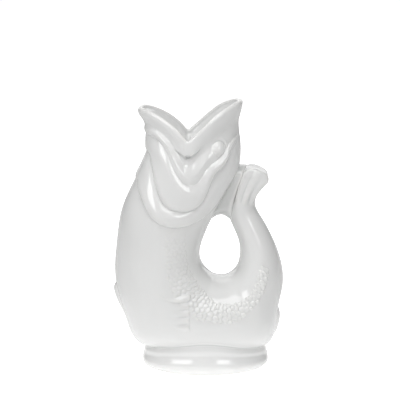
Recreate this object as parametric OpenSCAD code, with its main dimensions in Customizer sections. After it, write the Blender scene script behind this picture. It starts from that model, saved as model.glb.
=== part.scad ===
// Gurgle jug: a fish that stands on its curled belly, cast hollow in one wall of glazed earthenware.
// X runs from the throat (-X) to the tail (+X), Y across the fish and Z up. The origin is the middle
// of the foot, on the face that the jug stands on.

/* [Jug] */
// Height from the table to the tip of the upper lip
jug_height = 240; // [228:1:252]
// Length of the fish, from its belly side to its tail side
fish_length = 151; // [144:1:158]
// Width of the belly, across the fish
fish_width = 99; // [94:1:104]
// Thickness of the cast wall
wall = 4.5; // [3.8:0.1:5.2]

/* [Foot] */
// Height of the foot, up to its neck
foot_height = 17; // [15:0.5:19]
// Length of the neck between foot and belly
neck_length = 107; // [102:1:110]
// Width of the neck between foot and belly
neck_width = 84; // [80:1:88]
// How far the foot swells out past its neck
foot_swell = 2.3; // [1.5:0.1:3.5]
// Radius of the foot's rounded standing edge
foot_edge = 4; // [3:0.25:6]
// Height of the hollow under the foot
foot_recess = 2; // [1:0.25:3]
// Width of the flat rim that the jug stands on
rim_width = 5; // [4:0.25:7]

/* [Head] */
// How far the rolled lip stands out from the head
lip_rise = 1.6; // [1:0.1:2.4]
// Height of the rolled lip, below the rim
lip_band = 6.5; // [5:0.5:8]
// How far the gill collar stands out from the sides of the neck
collar_rise = 2.8; // [2:0.1:3.6]
// How far the gill covers stand out from the sides of the head
cover_rise = 4.2; // [3.4:0.1:5]
// How far the cheeks stand out from the sides of the head
cheek_rise = 5.4; // [4.4:0.1:6.2]
// How far all three stand out at the throat, where they run thin
throat_rise = 1.2; // [0.6:0.1:2]
// Gap between the left and the right pieces, at the throat
cover_gap = 5; // [2:0.5:9]
// Diameter of the eyeball where it leaves the head
eye_diameter = 14; // [12:0.5:16]
// How far the eyeball stands out from the head
eye_rise = 4.6; // [3.5:0.1:5.5]
// Width of the ring of lid round the eyeball
lid_width = 3.4; // [2:0.2:4.5]
// How far the lid stands out from the head
lid_rise = 2.2; // [1.5:0.1:3]

/* [Tail] */
// Width of the web of clay that joins the tail to the back of the head
web_width = 15; // [10:0.5:20]
// Depth of the notch in the end of the tail
tail_notch = 7; // [4:0.5:10]
// Depth of the grooves between the rays of the tail
ray_depth = 1.6; // [0.8:0.1:2.4]
// Number of grooves between the rays on each side of the tail
ray_grooves = 3; // [2:1:4]

/* [Fins] */
// How far the side fins stand out from the belly
fin_rise = 2; // [1.2:0.1:3]
// How far the ribs of the side fins stand out from the belly
rib_rise = 3.2; // [2.4:0.1:4.2]
// Width of each rib on the side fins
rib_width = 4.6; // [3:0.2:5.5]
// Number of ribs on each side fin
rib_count = 4; // [3:1:6]
// How far the belly fin stands out from the belly
belly_fin_rise = 3.4; // [2:0.2:5]
// Thickness of the belly fin, across the fish
belly_fin_width = 16; // [10:1:22]
// How far the vent fin stands out below the tail
vent_fin_rise = 3; // [2:0.2:4.5]
// Thickness of the vent fin, across the fish
vent_fin_width = 18; // [10:1:24]

/* [Hidden] */

white = [0.94, 0.94, 0.93];
cream = [0.90, 0.89, 0.86];

// Points round each cross-section of the fish, and round the turned and domed pieces
ring_points = 30;
foot_points = 40;
eye_points = 24;
notch_points = 16;
groove_points = 8;
curve_steps = 4;

// One named overrun for every cut
cut_over = 6;
plug_share = 0.1;
seam_share = 0.25;
ray_taper = 0.2;
// The fish's right side is at -Y and its left side at +Y
right_side = -1;
left_side = 1;

// Cross-sections of the fish, from the mouth down the trunk, round the belly and up to the tail. Each row
// gives the outer point (x as a share of fish_length, z as a share of jug_height), the inner point, on the
// side of the finger loop, the half width as a share of fish_width, how far round the oval neck of the foot
// the section stands, in degrees, and the number of steps to the next row.
station_shares = [
    [-0.412, 1.042,  0.222, 1.042, 0.270,   0, 2],
    [-0.368, 0.954,  0.204, 0.962, 0.315,   0, 2],
    [-0.328, 0.830,  0.196, 0.834, 0.368,   0, 2],
    [-0.358, 0.738,  0.184, 0.727, 0.395,   0, 2],
    [-0.432, 0.640,  0.116, 0.640, 0.415,   0, 2],
    [-0.493, 0.551,  0.036, 0.544, 0.450,   0, 2],
    [-0.519, 0.438, -0.025, 0.440, 0.476,   0, 2],
    [-0.526, 0.318, -0.007, 0.376, 0.490,   0, 3],
    [-0.463, 0.178,  0.043, 0.343, 0.498,   0, 3],
    [-0.348, 0.071,  0.074, 0.336, 0.500,   0, 3],
    [ 0.006, 0.071,  0.108, 0.333, 0.495,  90, 3],
    [ 0.360, 0.071,  0.150, 0.342, 0.455, 180, 3],
    [ 0.437, 0.206,  0.193, 0.374, 0.395, 180, 2],
    [ 0.463, 0.326,  0.208, 0.425, 0.328, 180, 2],
    [ 0.416, 0.447,  0.193, 0.483, 0.258, 180, 2],
    [ 0.336, 0.550,  0.148, 0.548, 0.200, 180, 2],
    [ 0.299, 0.605,  0.144, 0.605, 0.174, 180, 2],
    [ 0.334, 0.675,  0.182, 0.675, 0.200, 180, 2],
    [ 0.378, 0.721,  0.222, 0.765, 0.262, 180, 1]
];
head_index = 0;
seam_index = 4;
tail_seam_index = 13;
fin_index = 16;
last_index = len(station_shares) - 1;
left_neck_index = 9;
right_neck_index = 11;

// Side outlines, each point an x share of fish_length and a z share of jug_height
lower_lip_shares = [
    [-0.520, 0.930], [-0.391, 0.964], [-0.354, 0.970], [-0.285, 0.952], [-0.212, 0.928],
    [-0.144, 0.894], [-0.118, 0.874], [-0.103, 0.859]
];
upper_lip_shares = [
    [-0.103, 0.859], [-0.060, 0.881], [-0.015, 0.904], [0.040, 0.935], [0.091, 0.962],
    [0.159, 0.985], [0.219, 0.998], [0.300, 1.003]
];
collar_edge_shares = [
    [-0.560, 0.720], [-0.397, 0.698], [-0.379, 0.660], [-0.318, 0.592], [-0.225, 0.555],
    [-0.109, 0.551], [-0.003, 0.578], [0.066, 0.621], [0.118, 0.684], [0.175, 0.715], [0.300, 0.735]
];
cover_edge_shares = [
    [-0.560, 0.815], [-0.332, 0.806], [-0.305, 0.774], [-0.290, 0.727], [-0.269, 0.674],
    [-0.237, 0.636], [-0.189, 0.614], [-0.103, 0.604], [-0.015, 0.637], [0.029, 0.703],
    [0.056, 0.743], [0.110, 0.772], [0.136, 0.812]
];
collar_top_shares = [[0.136, 0.812], [0.200, 0.836], [0.300, 0.850]];
cover_top_shares = [[-0.012, 0.770], [0.022, 0.786], [0.069, 0.783], [0.106, 0.793], [0.136, 0.812]];
cheek_edge_shares = [
    [-0.560, 0.880], [-0.338, 0.872], [-0.279, 0.864], [-0.242, 0.842], [-0.205, 0.800],
    [-0.190, 0.752], [-0.155, 0.722], [-0.100, 0.703], [-0.040, 0.722], [-0.012, 0.770]
];
cheek_top_shares = [
    [-0.012, 0.770], [-0.050, 0.802], [-0.093, 0.796], [-0.130, 0.815], [-0.160, 0.850],
    [-0.230, 0.892], [-0.330, 0.905], [-0.560, 0.905]
];
side_fin_shares = [
    [-0.079, 0.175], [-0.079, 0.378], [-0.125, 0.352], [-0.185, 0.322], [-0.258, 0.318],
    [-0.340, 0.288], [-0.348, 0.262], [-0.300, 0.215], [-0.232, 0.178], [-0.144, 0.165], [-0.095, 0.165]
];
web_shares = [
    [0.030, 0.560], [0.100, 0.568], [0.170, 0.556], [0.210, 0.640], [0.240, 0.735], [0.200, 0.745],
    [0.150, 0.735], [0.060, 0.640]
];
// Place of the eye: along the fish, up the jug and out from its middle
eye_share = [0.069, 0.836, 0.322];
// How far the eye looks back from straight sideways, in degrees
eye_turn = 27;
rib_shares = [-0.330, -0.060, 0.215, 0.335];
belly_fin_shares = [[-0.512, 0.300], [0.045, 0.022]];
vent_fin_shares = [[0.398, 0.160], [0.030, 0.024]];

// Where the middle of the neck stands, between the two ends of its row in the table of sections
neck_x = (station_shares[left_neck_index][0] + station_shares[right_neck_index][0]) / 2 * fish_length;
neck_half_length = neck_length / 2;
neck_half_width = neck_width / 2;

// A smooth curve through q and r, with p and s the points before and after them
function between(p, q, r, s, t) =
    (2 * q + (r - p) * t + (2 * p - 5 * q + 4 * r - s) * t * t + (3 * q - p - 3 * r + s) * t * t * t) / 2;

function smooth(points) = let (last = len(points) - 1) concat(
    [for (i = [0:last - 1], k = [0:curve_steps - 1])
        between(points[max(i - 1, 0)], points[i], points[i + 1], points[min(i + 2, last)], k / curve_steps)],
    [points[last]]
);

// Side outline points as lengths in millimetres
function placed(shares) = [for (s = smooth(shares)) [s[0] * fish_length, s[1] * jug_height]];

function moved(outline, up) = [for (p = outline) [p[0], p[1] + up]];

// Two outlines that share an end point, as one
function joined(a, b) = concat(a, [for (i = [1:len(b) - 1]) b[i]]);

function turned_back(list) = [for (i = [len(list) - 1:-1:0]) list[i]];

// One row of the table as lengths, with its two ends and its sides drawn in
function set_row(s, inset, side_inset) =
    let (
        outer = [s[0] * fish_length, s[1] * jug_height],
        inner = [s[2] * fish_length, s[3] * jug_height],
        along = (inner - outer) / norm(inner - outer)
    )
    concat(outer + along * inset, inner - along * inset, [s[4] * fish_width - side_inset, s[5]]);

// On the neck of the foot the outer end of a section is a flat chord of the neck's oval
function on_neck(row, place, inset, side_inset) =
    place >= left_neck_index && place <= right_neck_index
    ? [neck_x - (neck_half_length - inset) * cos(row[5]), foot_height, row[2], row[3], row[4],
        (neck_half_width - side_inset) * sin(row[5])]
    : [row[0], row[1], row[2], row[3], row[4], 0];

function row_steps(i) = station_shares[i][6];

// Every section of the fish, drawn in by an inset: nought is the outside and the wall is the inside. The
// inside has its sections half a step on, so that none of them lies in the plane of a seam.
function stations(inset, side_inset) =
    let (
        rows = [for (s = station_shares) set_row(s, inset, side_inset)],
        ahead = inset > 0 ? 1 / 2 : 0
    )
    [for (i = [0:last_index], k = [0:(i == last_index ? 0 : row_steps(i) - 1)])
        let (
            next = min(i + 1, last_index),
            after = min(i + 2, last_index),
            part = (k + ahead) / row_steps(i),
            row = between(rows[max(i - 1, 0)], rows[i], rows[next], rows[after], part)
        )
        on_neck(row, i + part, inset, side_inset)];

// Number of the section that stands at a row of the table
function at_row(row, i = 0) = i >= row ? 0 : row_steps(i) + at_row(row, i + 1);

// Outline of one section: an oval from the inner point to the outer one, cut off flat on the neck
function section(s) =
    let (
        outer = [s[0], s[1]],
        inner = [s[2], s[3]],
        reach = norm(inner - outer) / 2,
        along = (inner - outer) / (2 * reach),
        middle = (inner + outer) / 2,
        flat = s[5] / s[4],
        stretch = 1 / sqrt(1 - flat * flat),
        turn = acos(flat),
        step = 360 / ring_points
    )
    [for (side = [1, -1], a = [0:step:180])
        let (
            b = a > 90 ? (a - 90) * turn / 90 : a - 90,
            far = a > 90 ? reach * stretch * sin(b) : reach * sin(b),
            p = middle - along * far
        )
        [p[0], side * s[4] * cos(b), p[1]]];

// A smaller section just past the first of two, which ties one stretch of the fish into the next
function plug(a, b) =
    let (
        s = a + (b - a) * plug_share,
        draw = [s[2] - s[0], s[3] - s[1]] * plug_share / 2
    )
    [s[0] + draw[0], s[1] + draw[1], s[2] - draw[0], s[3] - draw[1], s[4] * (1 - plug_share),
        s[5] * (1 - plug_share)];

module ring(s) {
    points = section(s);
    polyhedron(points = points, faces = [[for (k = [0:len(points) - 1]) k]]);
}

// The fish between two rows of the table, with its skin drawn in by an inset; its sides may have their own
module fish(inset, first_row, end_row, before = 0, after = 0, side_inset = undef) {
    all = stations(inset, is_undef(side_inset) ? inset : side_inset);
    end = at_row(end_row) - 1 + after;
    for (i = [at_row(first_row) - before:end]) {
        hull() {
            ring(all[i]);
            ring(all[i + 1]);
            if (i < end) ring(plug(all[i + 1], all[i + 2]));
        }
    }
}

// A slab right across the fish with the given side outline
module across(outline, width = 2 * fish_width) {
    rotate([90, 0, 0]) linear_extrude(height = width, center = true) polygon(outline);
}

// The half of space on one side of the fish, kept half a gap away from the middle
module half(side, gap) {
    room = 2 * jug_height;
    translate([-room / 2, side > 0 ? gap / 2 : -room - gap / 2, 0]) cube(room);
}

// A slab on one side of the seam between belly and tail: 1 is the tail's side and -1 the belly's
module past_seam(way) {
    all = stations(0, 0);
    first = at_row(tail_seam_index);
    cut = all[first] + (all[first + 1] - all[first]) * seam_share;
    outer = [cut[0], cut[1]];
    inner = [cut[2], cut[3]];
    reach = norm(inner - outer);
    along = (inner - outer) / reach;
    up = way * reach * [along[1], -along[0]];
    edge = [outer - along * cut_over, inner + along * cut_over];
    across([edge[0], edge[1], edge[1] + up, edge[0] + up]);
}

// The rim of the mouth: down the lower lip to the corner and up the upper lip
function rim_line() = joined(placed(lower_lip_shares), placed(upper_lip_shares));

// Everything above the rim of the mouth
module above_rim() {
    top = 2 * jug_height;
    line = rim_line();
    across(concat(line, [[line[len(line) - 1][0], top], [line[0][0], top]]));
}

// An oval round the middle of the neck, a distance out from the neck and at a height
function oval(out, height) = [for (a = [0:360 / foot_points:359])
    [neck_x + (neck_half_length + out) * cos(a), (neck_half_width + out) * sin(a), height]];

// A closed solid through a pile of ovals, each given by its distance out and its height, lowest first
module pile(profile) {
    rings = [for (p = profile) oval(p[0], p[1])];
    count = len(rings[0]);
    top = len(rings) - 1;
    polyhedron(
        points = [for (r = rings) each r],
        faces = concat(
            [[for (k = [0:count - 1]) k]],
            [for (i = [0:top - 1], k = [0:count - 1])
                [i * count + k, (i + 1) * count + k, (i + 1) * count + (k + 1) % count,
                    i * count + (k + 1) % count]],
            [[for (k = [count - 1:-1:0]) top * count + k]]
        )
    );
}

// Oval foot: a swelling wall on a flat standing rim, with a floor inside and a hollow underneath
module foot() {
    edge = foot_swell - foot_edge;
    floor_top = foot_recess + wall;
    color(cream) difference() {
        pile(concat(
            [for (a = [-90:30:0]) [edge + foot_edge * cos(a), foot_edge + foot_edge * sin(a)]],
            [for (a = [30:30:90]) [foot_swell * cos(a), foot_edge + (foot_height - foot_edge) * sin(a)]]
        ));
        pile(concat(
            [for (a = [90:-30:0]) [wall * cos(a) - 2 * wall, floor_top + wall - wall * sin(a)]],
            [[-wall, foot_height + cut_over]]
        ));
        pile([
            [edge - rim_width, -cut_over],
            [edge - rim_width, 0],
            [edge - rim_width - foot_recess, foot_recess]
        ]);
    }
}

// Belly and trunk, from the neck of the foot to the gill collar and to the root of the tail
module belly_shell() {
    color(white) difference() {
        fish(0, seam_index, tail_seam_index, after = 1);
        fish(wall, seam_index, tail_seam_index, before = 1, after = 1);
        past_seam(1);
    }
}

// Head with its open mouth and rolled lip
module head_shell() {
    line = rim_line();
    color(white) difference() {
        union() {
            fish(0, head_index, seam_index);
            intersection() {
                fish(-lip_rise, head_index, seam_index);
                across(concat(moved(line, lip_band), turned_back(moved(line, -lip_band))));
            }
        }
        above_rim();
        fish(wall, head_index, seam_index, after = 1);
    }
}

// Hollow tail that serves as the handle; its air chamber opens into the belly
module tail_handle() {
    color(white) difference() {
        fish(0, tail_seam_index, fin_index);
        fish(wall, tail_seam_index, fin_index, before = 1, after = -1);
        past_seam(-1);
    }
}

// A place on the side of a section, a share of the way from its inner point to its outer one
function on_side(s, share, side) = [
    s[2] + (s[0] - s[2]) * share, side * s[4] * 2 * sqrt(share * (1 - share)), s[3] + (s[1] - s[3]) * share
];

// Spread end of the tail, with a notch across its end and grooves between its rays down both sides
module tail_fin() {
    rows = [for (i = [last_index:-1:fin_index]) set_row(station_shares[i], 0, 0)];
    depths = [ray_depth * ray_taper, ray_depth, ray_depth * ray_taper];
    tip_middle = [(rows[0][0] + rows[0][2]) / 2, 0, (rows[0][1] + rows[0][3]) / 2];
    color(white) difference() {
        fish(0, fin_index, last_index);
        fish(0, head_index, seam_index + 1);
        translate(tip_middle) scale([fish_length, 2 * tail_notch, tail_notch]) sphere(r = 1, $fn = notch_points);
        for (k = [1:ray_grooves], side = [right_side, left_side]) {
            share = k / (ray_grooves + 1);
            hull() {
                for (i = [0:2]) {
                    translate(on_side(rows[i], share, side)) sphere(r = depths[i], $fn = groove_points);
                }
            }
        }
    }
}

// Web of clay in the narrow gap between the tail and the back of the head
module tail_web() {
    color(white) difference() {
        across(placed(web_shares), web_width);
        fish(0, head_index, seam_index + 1, after = 2);
        fish(0, tail_seam_index, last_index);
    }
}

// A skin that lies on the fish inside a side outline, with its rise at the ends and at the sides
module skin(outline, end_rise, rise, first_row, end_row) {
    intersection() {
        fish(-end_rise, first_row, end_row, side_inset = -rise);
        across(outline);
    }
}

// Raised collar behind the gills, all round the neck
module gill_collar() {
    top = joined(placed(cover_edge_shares), placed(collar_top_shares));
    color(white) difference() {
        skin(concat(placed(collar_edge_shares), turned_back(top)), throat_rise, collar_rise, 1, 6);
        fish(0, 1, 6);
        fish(0, fin_index, last_index);
        across(placed(web_shares), web_width);
    }
}

// Gill cover of one side, between the collar and the cheek
module gill_cover(side) {
    cheek = joined(placed(cheek_edge_shares), placed(cover_top_shares));
    color(white) difference() {
        intersection() {
            skin(joined(placed(cover_edge_shares), turned_back(cheek)), throat_rise, cover_rise, 1, 6);
            half(side, cover_gap);
        }
        fish(0, 1, 6);
    }
}

// Cheek of one side, below the corner of the mouth
module cheek(side) {
    color(white) difference() {
        intersection() {
            skin(joined(placed(cheek_edge_shares), placed(cheek_top_shares)), throat_rise, cheek_rise, 1, 5);
            half(side, cover_gap);
        }
        fish(0, 1, 5);
    }
}

// Eye of one side: a ball inside its ring of lid
module eye(side) {
    middle = [eye_share[0] * fish_length, eye_share[1] * jug_height];
    out = eye_share[2] * fish_width;
    r = (eye_diameter * eye_diameter / 4 + eye_rise * eye_rise) / (2 * eye_rise);
    sunk = r - eye_rise;
    lid = eye_diameter / 2 + lid_width;
    color(white) difference() {
        union() {
            translate([middle[0] - sunk * sin(eye_turn), side * (out - sunk * cos(eye_turn)), middle[1]])
                sphere(r = r, $fn = eye_points);
            intersection() {
                skin([for (a = [0:360 / eye_points:359]) middle + lid * [cos(a), sin(a)]],
                    lid_rise, lid_rise, 0, seam_index);
                half(side, 0);
            }
        }
        fish(0, 0, seam_index);
        gill_cover(side);
    }
}

// Side fin: a thin blade with ribs that run along it
module side_fin(side) {
    outline = placed(side_fin_shares);
    low = rib_shares[2] * jug_height;
    pitch = (rib_shares[3] - rib_shares[2]) * jug_height / rib_count;
    color(white) difference() {
        intersection() {
            union() {
                skin(outline, fin_rise, fin_rise, 6, 12);
                intersection() {
                    skin(outline, rib_rise, rib_rise, 6, 12);
                    for (k = [0:rib_count - 1]) {
                        across([
                            [rib_shares[0] * fish_length, low + k * pitch],
                            [rib_shares[1] * fish_length, low + k * pitch - rib_width / 2],
                            [rib_shares[1] * fish_length, low + k * pitch + rib_width / 2]
                        ]);
                    }
                }
            }
            half(side, 0);
        }
        fish(0, 6, 12);
    }
}

// Small keel on the middle of the fish, seated on its skin
module keel(shares, rise, width) {
    middle = [shares[0][0] * fish_length, 0, shares[0][1] * jug_height];
    long = shares[1][0] * fish_length;
    tall = shares[1][1] * jug_height + rise * 2;
    color(white) difference() {
        intersection() {
            fish(-rise, 6, 14);
            translate(middle) scale([long + rise, width / 2, tall]) sphere(r = 1, $fn = eye_points);
        }
        fish(0, 6, 14);
    }
}

module belly_fin() {
    keel(belly_fin_shares, belly_fin_rise, belly_fin_width);
}

module vent_fin() {
    keel(vent_fin_shares, vent_fin_rise, vent_fin_width);
}

foot();
belly_shell();
head_shell();
tail_handle();
tail_fin();
tail_web();
gill_collar();
gill_cover(left_side);  // gill_cover_left
gill_cover(right_side);  // gill_cover_right
cheek(left_side);  // cheek_left
cheek(right_side);  // cheek_right
eye(left_side);  // eye_left
eye(right_side);  // eye_right
side_fin(left_side);  // side_fin_left
side_fin(right_side);  // side_fin_right
belly_fin();
vent_fin();
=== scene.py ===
"""Gurgle jug in white glazed earthenware: a fish that stands on its curled belly on an oval foot.

The open mouth pours, and the hollow tail closes the finger loop and is the handle. All sizes in the
classes are millimetres; meshes are made in metres. +Z is up, -X is the throat side, +X the tail side,
and the fish's right side, at -Y, faces the camera.
"""

import logging
import math
from dataclasses import dataclass
from enum import Enum
from typing import Callable, Sequence

import bmesh
import bpy
import numpy as np
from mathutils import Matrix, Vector

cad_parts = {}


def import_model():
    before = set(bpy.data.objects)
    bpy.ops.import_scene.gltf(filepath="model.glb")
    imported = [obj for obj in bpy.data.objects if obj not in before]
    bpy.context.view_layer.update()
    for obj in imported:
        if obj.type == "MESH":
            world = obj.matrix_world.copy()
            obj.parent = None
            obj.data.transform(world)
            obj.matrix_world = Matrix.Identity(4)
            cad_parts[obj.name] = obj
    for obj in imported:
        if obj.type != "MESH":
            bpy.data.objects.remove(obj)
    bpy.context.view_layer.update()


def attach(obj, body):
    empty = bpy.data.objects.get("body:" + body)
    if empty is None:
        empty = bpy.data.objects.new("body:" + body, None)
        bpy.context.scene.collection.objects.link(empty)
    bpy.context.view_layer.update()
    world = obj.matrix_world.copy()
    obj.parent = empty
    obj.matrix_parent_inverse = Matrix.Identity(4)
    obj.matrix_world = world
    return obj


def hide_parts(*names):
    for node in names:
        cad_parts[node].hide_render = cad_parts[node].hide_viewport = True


LOG = logging.getLogger("gurgle_jug")
MM = 0.001
TAU = 2.0 * math.pi
QUARTER = math.pi / 2
# Metres within which points are joined, and past which two open borders aren't bridged
WELD = 2e-6
BRIDGE_REACH = 0.03
# Millimetres to which a piece that lies on the skin goes down under it
BURIED = 2.0
# Angle above which an edge is shaded sharp
SHARP_ANGLE = math.radians(62)

Array = np.ndarray
Profile = Callable[[Array], Array]
Field = Callable[[Array, Array], Array]
Ring = tuple[Array | float, Array | float]
Points = Sequence[tuple[float, float]]


class Side(Enum):
    """The two sides of the fish."""

    RIGHT = -1
    LEFT = 1


# Curves and surfaces


class Spline:
    """A curve with continuous bend through rows of numbers."""

    def __init__(self, knots: list[float], rows: list[list[float]]) -> None:
        """Fit the curve.

        Args:
            knots: Position of each row along the curve, rising.
            rows: The numbers at each knot.
        """
        self.knots = np.array(knots, float)
        self.rows = np.array(rows, float)
        count = len(knots)
        gaps = np.diff(self.knots)
        system = np.eye(count)
        right = np.zeros_like(self.rows)
        slopes = np.diff(self.rows, axis=0) / gaps[:, None]
        for i in range(1, count - 1):
            system[i, i - 1 : i + 2] = [gaps[i - 1], 2 * (gaps[i - 1] + gaps[i]), gaps[i]]
            right[i] = 6 * (slopes[i] - slopes[i - 1])
        self.bends = np.linalg.solve(system, right)

    def at(self, t: Array) -> Array:
        """Numbers at positions along the curve.

        Args:
            t: Positions, of any shape.

        Returns:
            An array of t's shape with the row's numbers as its last axis.
        """
        t = np.asarray(t, float)
        i = np.clip(np.searchsorted(self.knots, t, side="right") - 1, 0, len(self.knots) - 2)
        gap = (self.knots[i + 1] - self.knots[i])[..., None]
        b = (t - self.knots[i])[..., None] / gap
        a = 1 - b
        bend = (a**3 - a) * self.bends[i] + (b**3 - b) * self.bends[i + 1]
        return a * self.rows[i] + b * self.rows[i + 1] + bend * gap**2 / 6


def dense(points: Points, steps: int = 24) -> Array:
    """A smooth run of side-view points through a few chosen ones.

    Args:
        points: Chosen (x, z) points.
        steps: Points made between each two of them.

    Returns:
        An array of (x, z) points.
    """
    p = np.array(points, float)
    ends = np.vstack([2 * p[0] - p[1], p, 2 * p[-1] - p[-2]])
    out = []
    for i in range(len(p) - 1):
        a, b, c, d = ends[i : i + 4]
        for k in range(steps):
            u = k / steps
            slope, square, cube = c - a, 2 * a - 5 * b + 4 * c - d, 3 * b - a - 3 * c + d
            out.append((2 * b + slope * u + square * u**2 + cube * u**3) / 2)
    out.append(p[-1])
    return np.array(out)


def smooth_step(x: Array) -> Array:
    """Nought to one with level ends."""
    x = np.clip(x, 0, 1)
    return x * x * (3 - 2 * x)


def blurred(values: Array, reach: int) -> Array:
    """Values with their corners rounded over a few neighbours.

    Args:
        values: A row of numbers whose two ends are mirror planes.
        reach: How many neighbours each way.

    Returns:
        The smoothed row.
    """
    weights = np.cos(np.linspace(-0.5, 0.5, 2 * reach + 3)[1:-1] * math.pi) ** 2
    weights /= weights.sum()
    padded = np.pad(values, reach, mode="reflect")
    return np.convolve(padded, weights, mode="valid")


def unit(vectors: Array) -> Array:
    """Vectors brought to a length of one."""
    return vectors / np.maximum(np.linalg.norm(vectors, axis=-1, keepdims=True), 1e-9)


@dataclass
class FishForm:
    """The plain outside of the fish: oval sections from the mouth, down and round to the tail.

    A place on it is a station t, counted in rows of the table, and a turn a, from nought on the side of
    the finger loop to pi on the outer side. It is worked out for the right side, at -Y.
    """

    wall: float = 4.5
    # Oval along which the belly stops at the foot, and the first and last station that it cuts
    neck_x: float = 0.9
    neck_half_length: float = 53.5
    neck_half_width: float = 42.0
    neck_rows: tuple[int, int] = (9, 11)
    # Station of the belly's middle
    middle: float = 10.0
    # Swelling of the belly at each end of the foot: height, stations from the middle, length in stations
    haunch: float = 2.0
    haunch_place: float = 0.72
    haunch_length: float = 0.3
    # Outer point x and z, inner point x and z, half width
    rows: tuple[tuple[float, float, float, float, float], ...] = (
        (-62.2, 250.1, 33.5, 250.1, 26.7),
        (-56.4, 229.0, 31.6, 230.9, 31.2),
        (-50.6, 199.2, 31.0, 200.2, 36.0),
        (-56.6, 177.1, 28.4, 174.5, 38.3),
        (-68.0, 153.6, 17.8, 153.6, 41.1),
        (-75.2, 132.2, 5.2, 130.6, 44.6),
        (-78.6, 105.1, -3.8, 105.6, 47.1),
        (-78.8, 76.3, -1.1, 90.2, 48.5),
        (-70.2, 42.7, 6.5, 82.3, 49.3),
        (-52.6, 17.0, 11.2, 80.3, 49.5),
        (0.9, 10.8, 16.3, 79.6, 49.0),
        (54.4, 17.0, 22.6, 82.1, 45.0),
        (65.4, 49.4, 29.1, 89.8, 39.1),
        (69.9, 78.2, 31.4, 102.0, 32.5),
        (63.6, 107.3, 29.1, 115.9, 25.5),
        (51.2, 132.0, 22.6, 131.5, 19.8),
        (44.9, 145.2, 21.9, 145.2, 17.2),
        (48.8, 160.5, 27.0, 162.5, 19.4),
        (58.6, 171.6, 33.6, 182.6, 25.4),
    )

    def __post_init__(self) -> None:
        """Fit the curves through the table, and find where each section meets the neck of the foot."""
        knots = list(range(len(self.rows)))
        self.outer_curve = Spline(knots, [list(r[:2]) for r in self.rows])
        self.inner_curve = Spline(knots, [list(r[2:4]) for r in self.rows])
        self.width_curve = Spline(knots, [[r[4]] for r in self.rows])
        self.cut_stations = np.linspace(*self.neck_rows, 401)
        low, high = self.crossing(self.cut_stations, 0.0, 50)
        self.cut_turns = (low + high) / 2
        self.cut_turns[[0, -1]] = QUARTER

    def section(self, t: Array) -> tuple[Array, Array, Array]:
        """Sections of the fish.

        Args:
            t: Stations.

        Returns:
            Outer points, inner points and half widths.
        """
        t = np.asarray(t, float)
        return self.outer_curve.at(t), self.inner_curve.at(t), self.width_curve.at(t)[..., 0]

    def oval(self, t: Array, b: Array) -> Array:
        """Points on the whole ovals of the right side.

        Args:
            t: Stations.
            b: Turns counted from the widest place of the oval.

        Returns:
            (x, y, z) in millimetres along the last axis.
        """
        outer, inner, width = self.section(t)
        p = (outer + inner) / 2 - (inner - outer) / 2 * np.sin(b)[..., None]
        off = (np.abs(t - self.middle) - self.haunch_place) / self.haunch_length
        lift = self.haunch * np.exp(-(off**2)) * np.where(b > 0, np.sin(b) ** 2, 0)
        return np.stack([p[..., 0], -width * np.cos(b), p[..., 1] + lift], axis=-1)

    def point(self, t: Array, a: Array) -> Array:
        """Points on the right side of the fish.

        Args:
            t: Stations.
            a: Turns, of the same shape.

        Returns:
            (x, y, z) in millimetres along the last axis.
        """
        t, a = np.broadcast_arrays(np.asarray(t, float), np.asarray(a, float))
        b = a - QUARTER
        last = np.interp(t, self.cut_stations, self.cut_turns, left=QUARTER, right=QUARTER)
        return self.oval(t, np.where(b > 0, b * last / QUARTER, b))

    def crossing(self, stations: Array, grown: float, rounds: int) -> tuple[Array, Array]:
        """Turns, from the widest place, at which sections pass out of the foot's oval or a larger one.

        Args:
            stations: Stations of the sections.
            grown: How much larger the oval is all round.
            rounds: How often the span that holds each turn is halved.

        Returns:
            The two ends of each span.
        """
        length, width = self.neck_half_length + grown, self.neck_half_width + grown
        low, high = np.zeros(len(stations)), np.full(len(stations), QUARTER)
        for _ in range(rounds):
            half = (low + high) / 2
            p = self.oval(stations, half)
            out = ((p[:, 0] - self.neck_x) / length) ** 2 + (p[:, 1] / width) ** 2 > 1
            low, high = np.where(out, half, low), np.where(out, high, half)
        return low, high

    def neck_top(self, b: Array, grown: float = 0.0) -> Array:
        """Heights at which the foot's oval, or a larger one, meets the belly, at turns round the foot.

        Args:
            b: The turns.
            grown: How much larger the oval is all round.

        Returns:
            The heights.
        """
        length = self.neck_half_length + grown
        half = 400
        fine = np.linspace(8, 12, 2 * half + 1)
        x = self.outer_curve.at(fine)[:, 0]
        first = np.interp(self.neck_x - length, x[: half + 1], fine[: half + 1])
        last = np.interp(self.neck_x + length, x[half:], fine[half:])
        stations = np.linspace(first, last, half + 1)
        _, turns = self.crossing(stations, grown, 40)
        turns[[0, -1]] = QUARTER
        p = self.oval(stations, turns)
        turn = np.arccos(np.clip((p[:, 0] - self.neck_x) / length, -1, 1))
        order = np.argsort(turn)
        return np.interp(np.arccos(np.cos(b)), turn[order], p[order, 2])

    def slopes(self, t: Array, a: Array) -> tuple[Array, Array]:
        """How the point moves with the station and with the turn.

        Args:
            t: Stations.
            a: Turns.

        Returns:
            Millimetres for each station and for each radian, as two arrays of vectors.
        """
        step = 1e-3
        along = (self.point(t + step, a) - self.point(t - step, a)) / (2 * step)
        around = (self.point(t, a + step) - self.point(t, a - step)) / (2 * step)
        return along, around

    def normal(self, t: Array, a: Array) -> Array:
        """Outward directions on the right side, level with the middle plane where they start on it.

        Args:
            t: Stations.
            a: Turns.

        Returns:
            Directions of length one along the last axis.
        """
        along, around = self.slopes(t, a)
        n = unit(np.cross(around, along))
        edge = (np.abs(np.sin(a)) < 1e-6)[..., None] & (np.abs(self.point(t, a)[..., 1:2]) < 1e-3)
        flat = unit(n * np.array([1.0, 0.0, 1.0]))
        return np.where(edge, flat, n)

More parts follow.
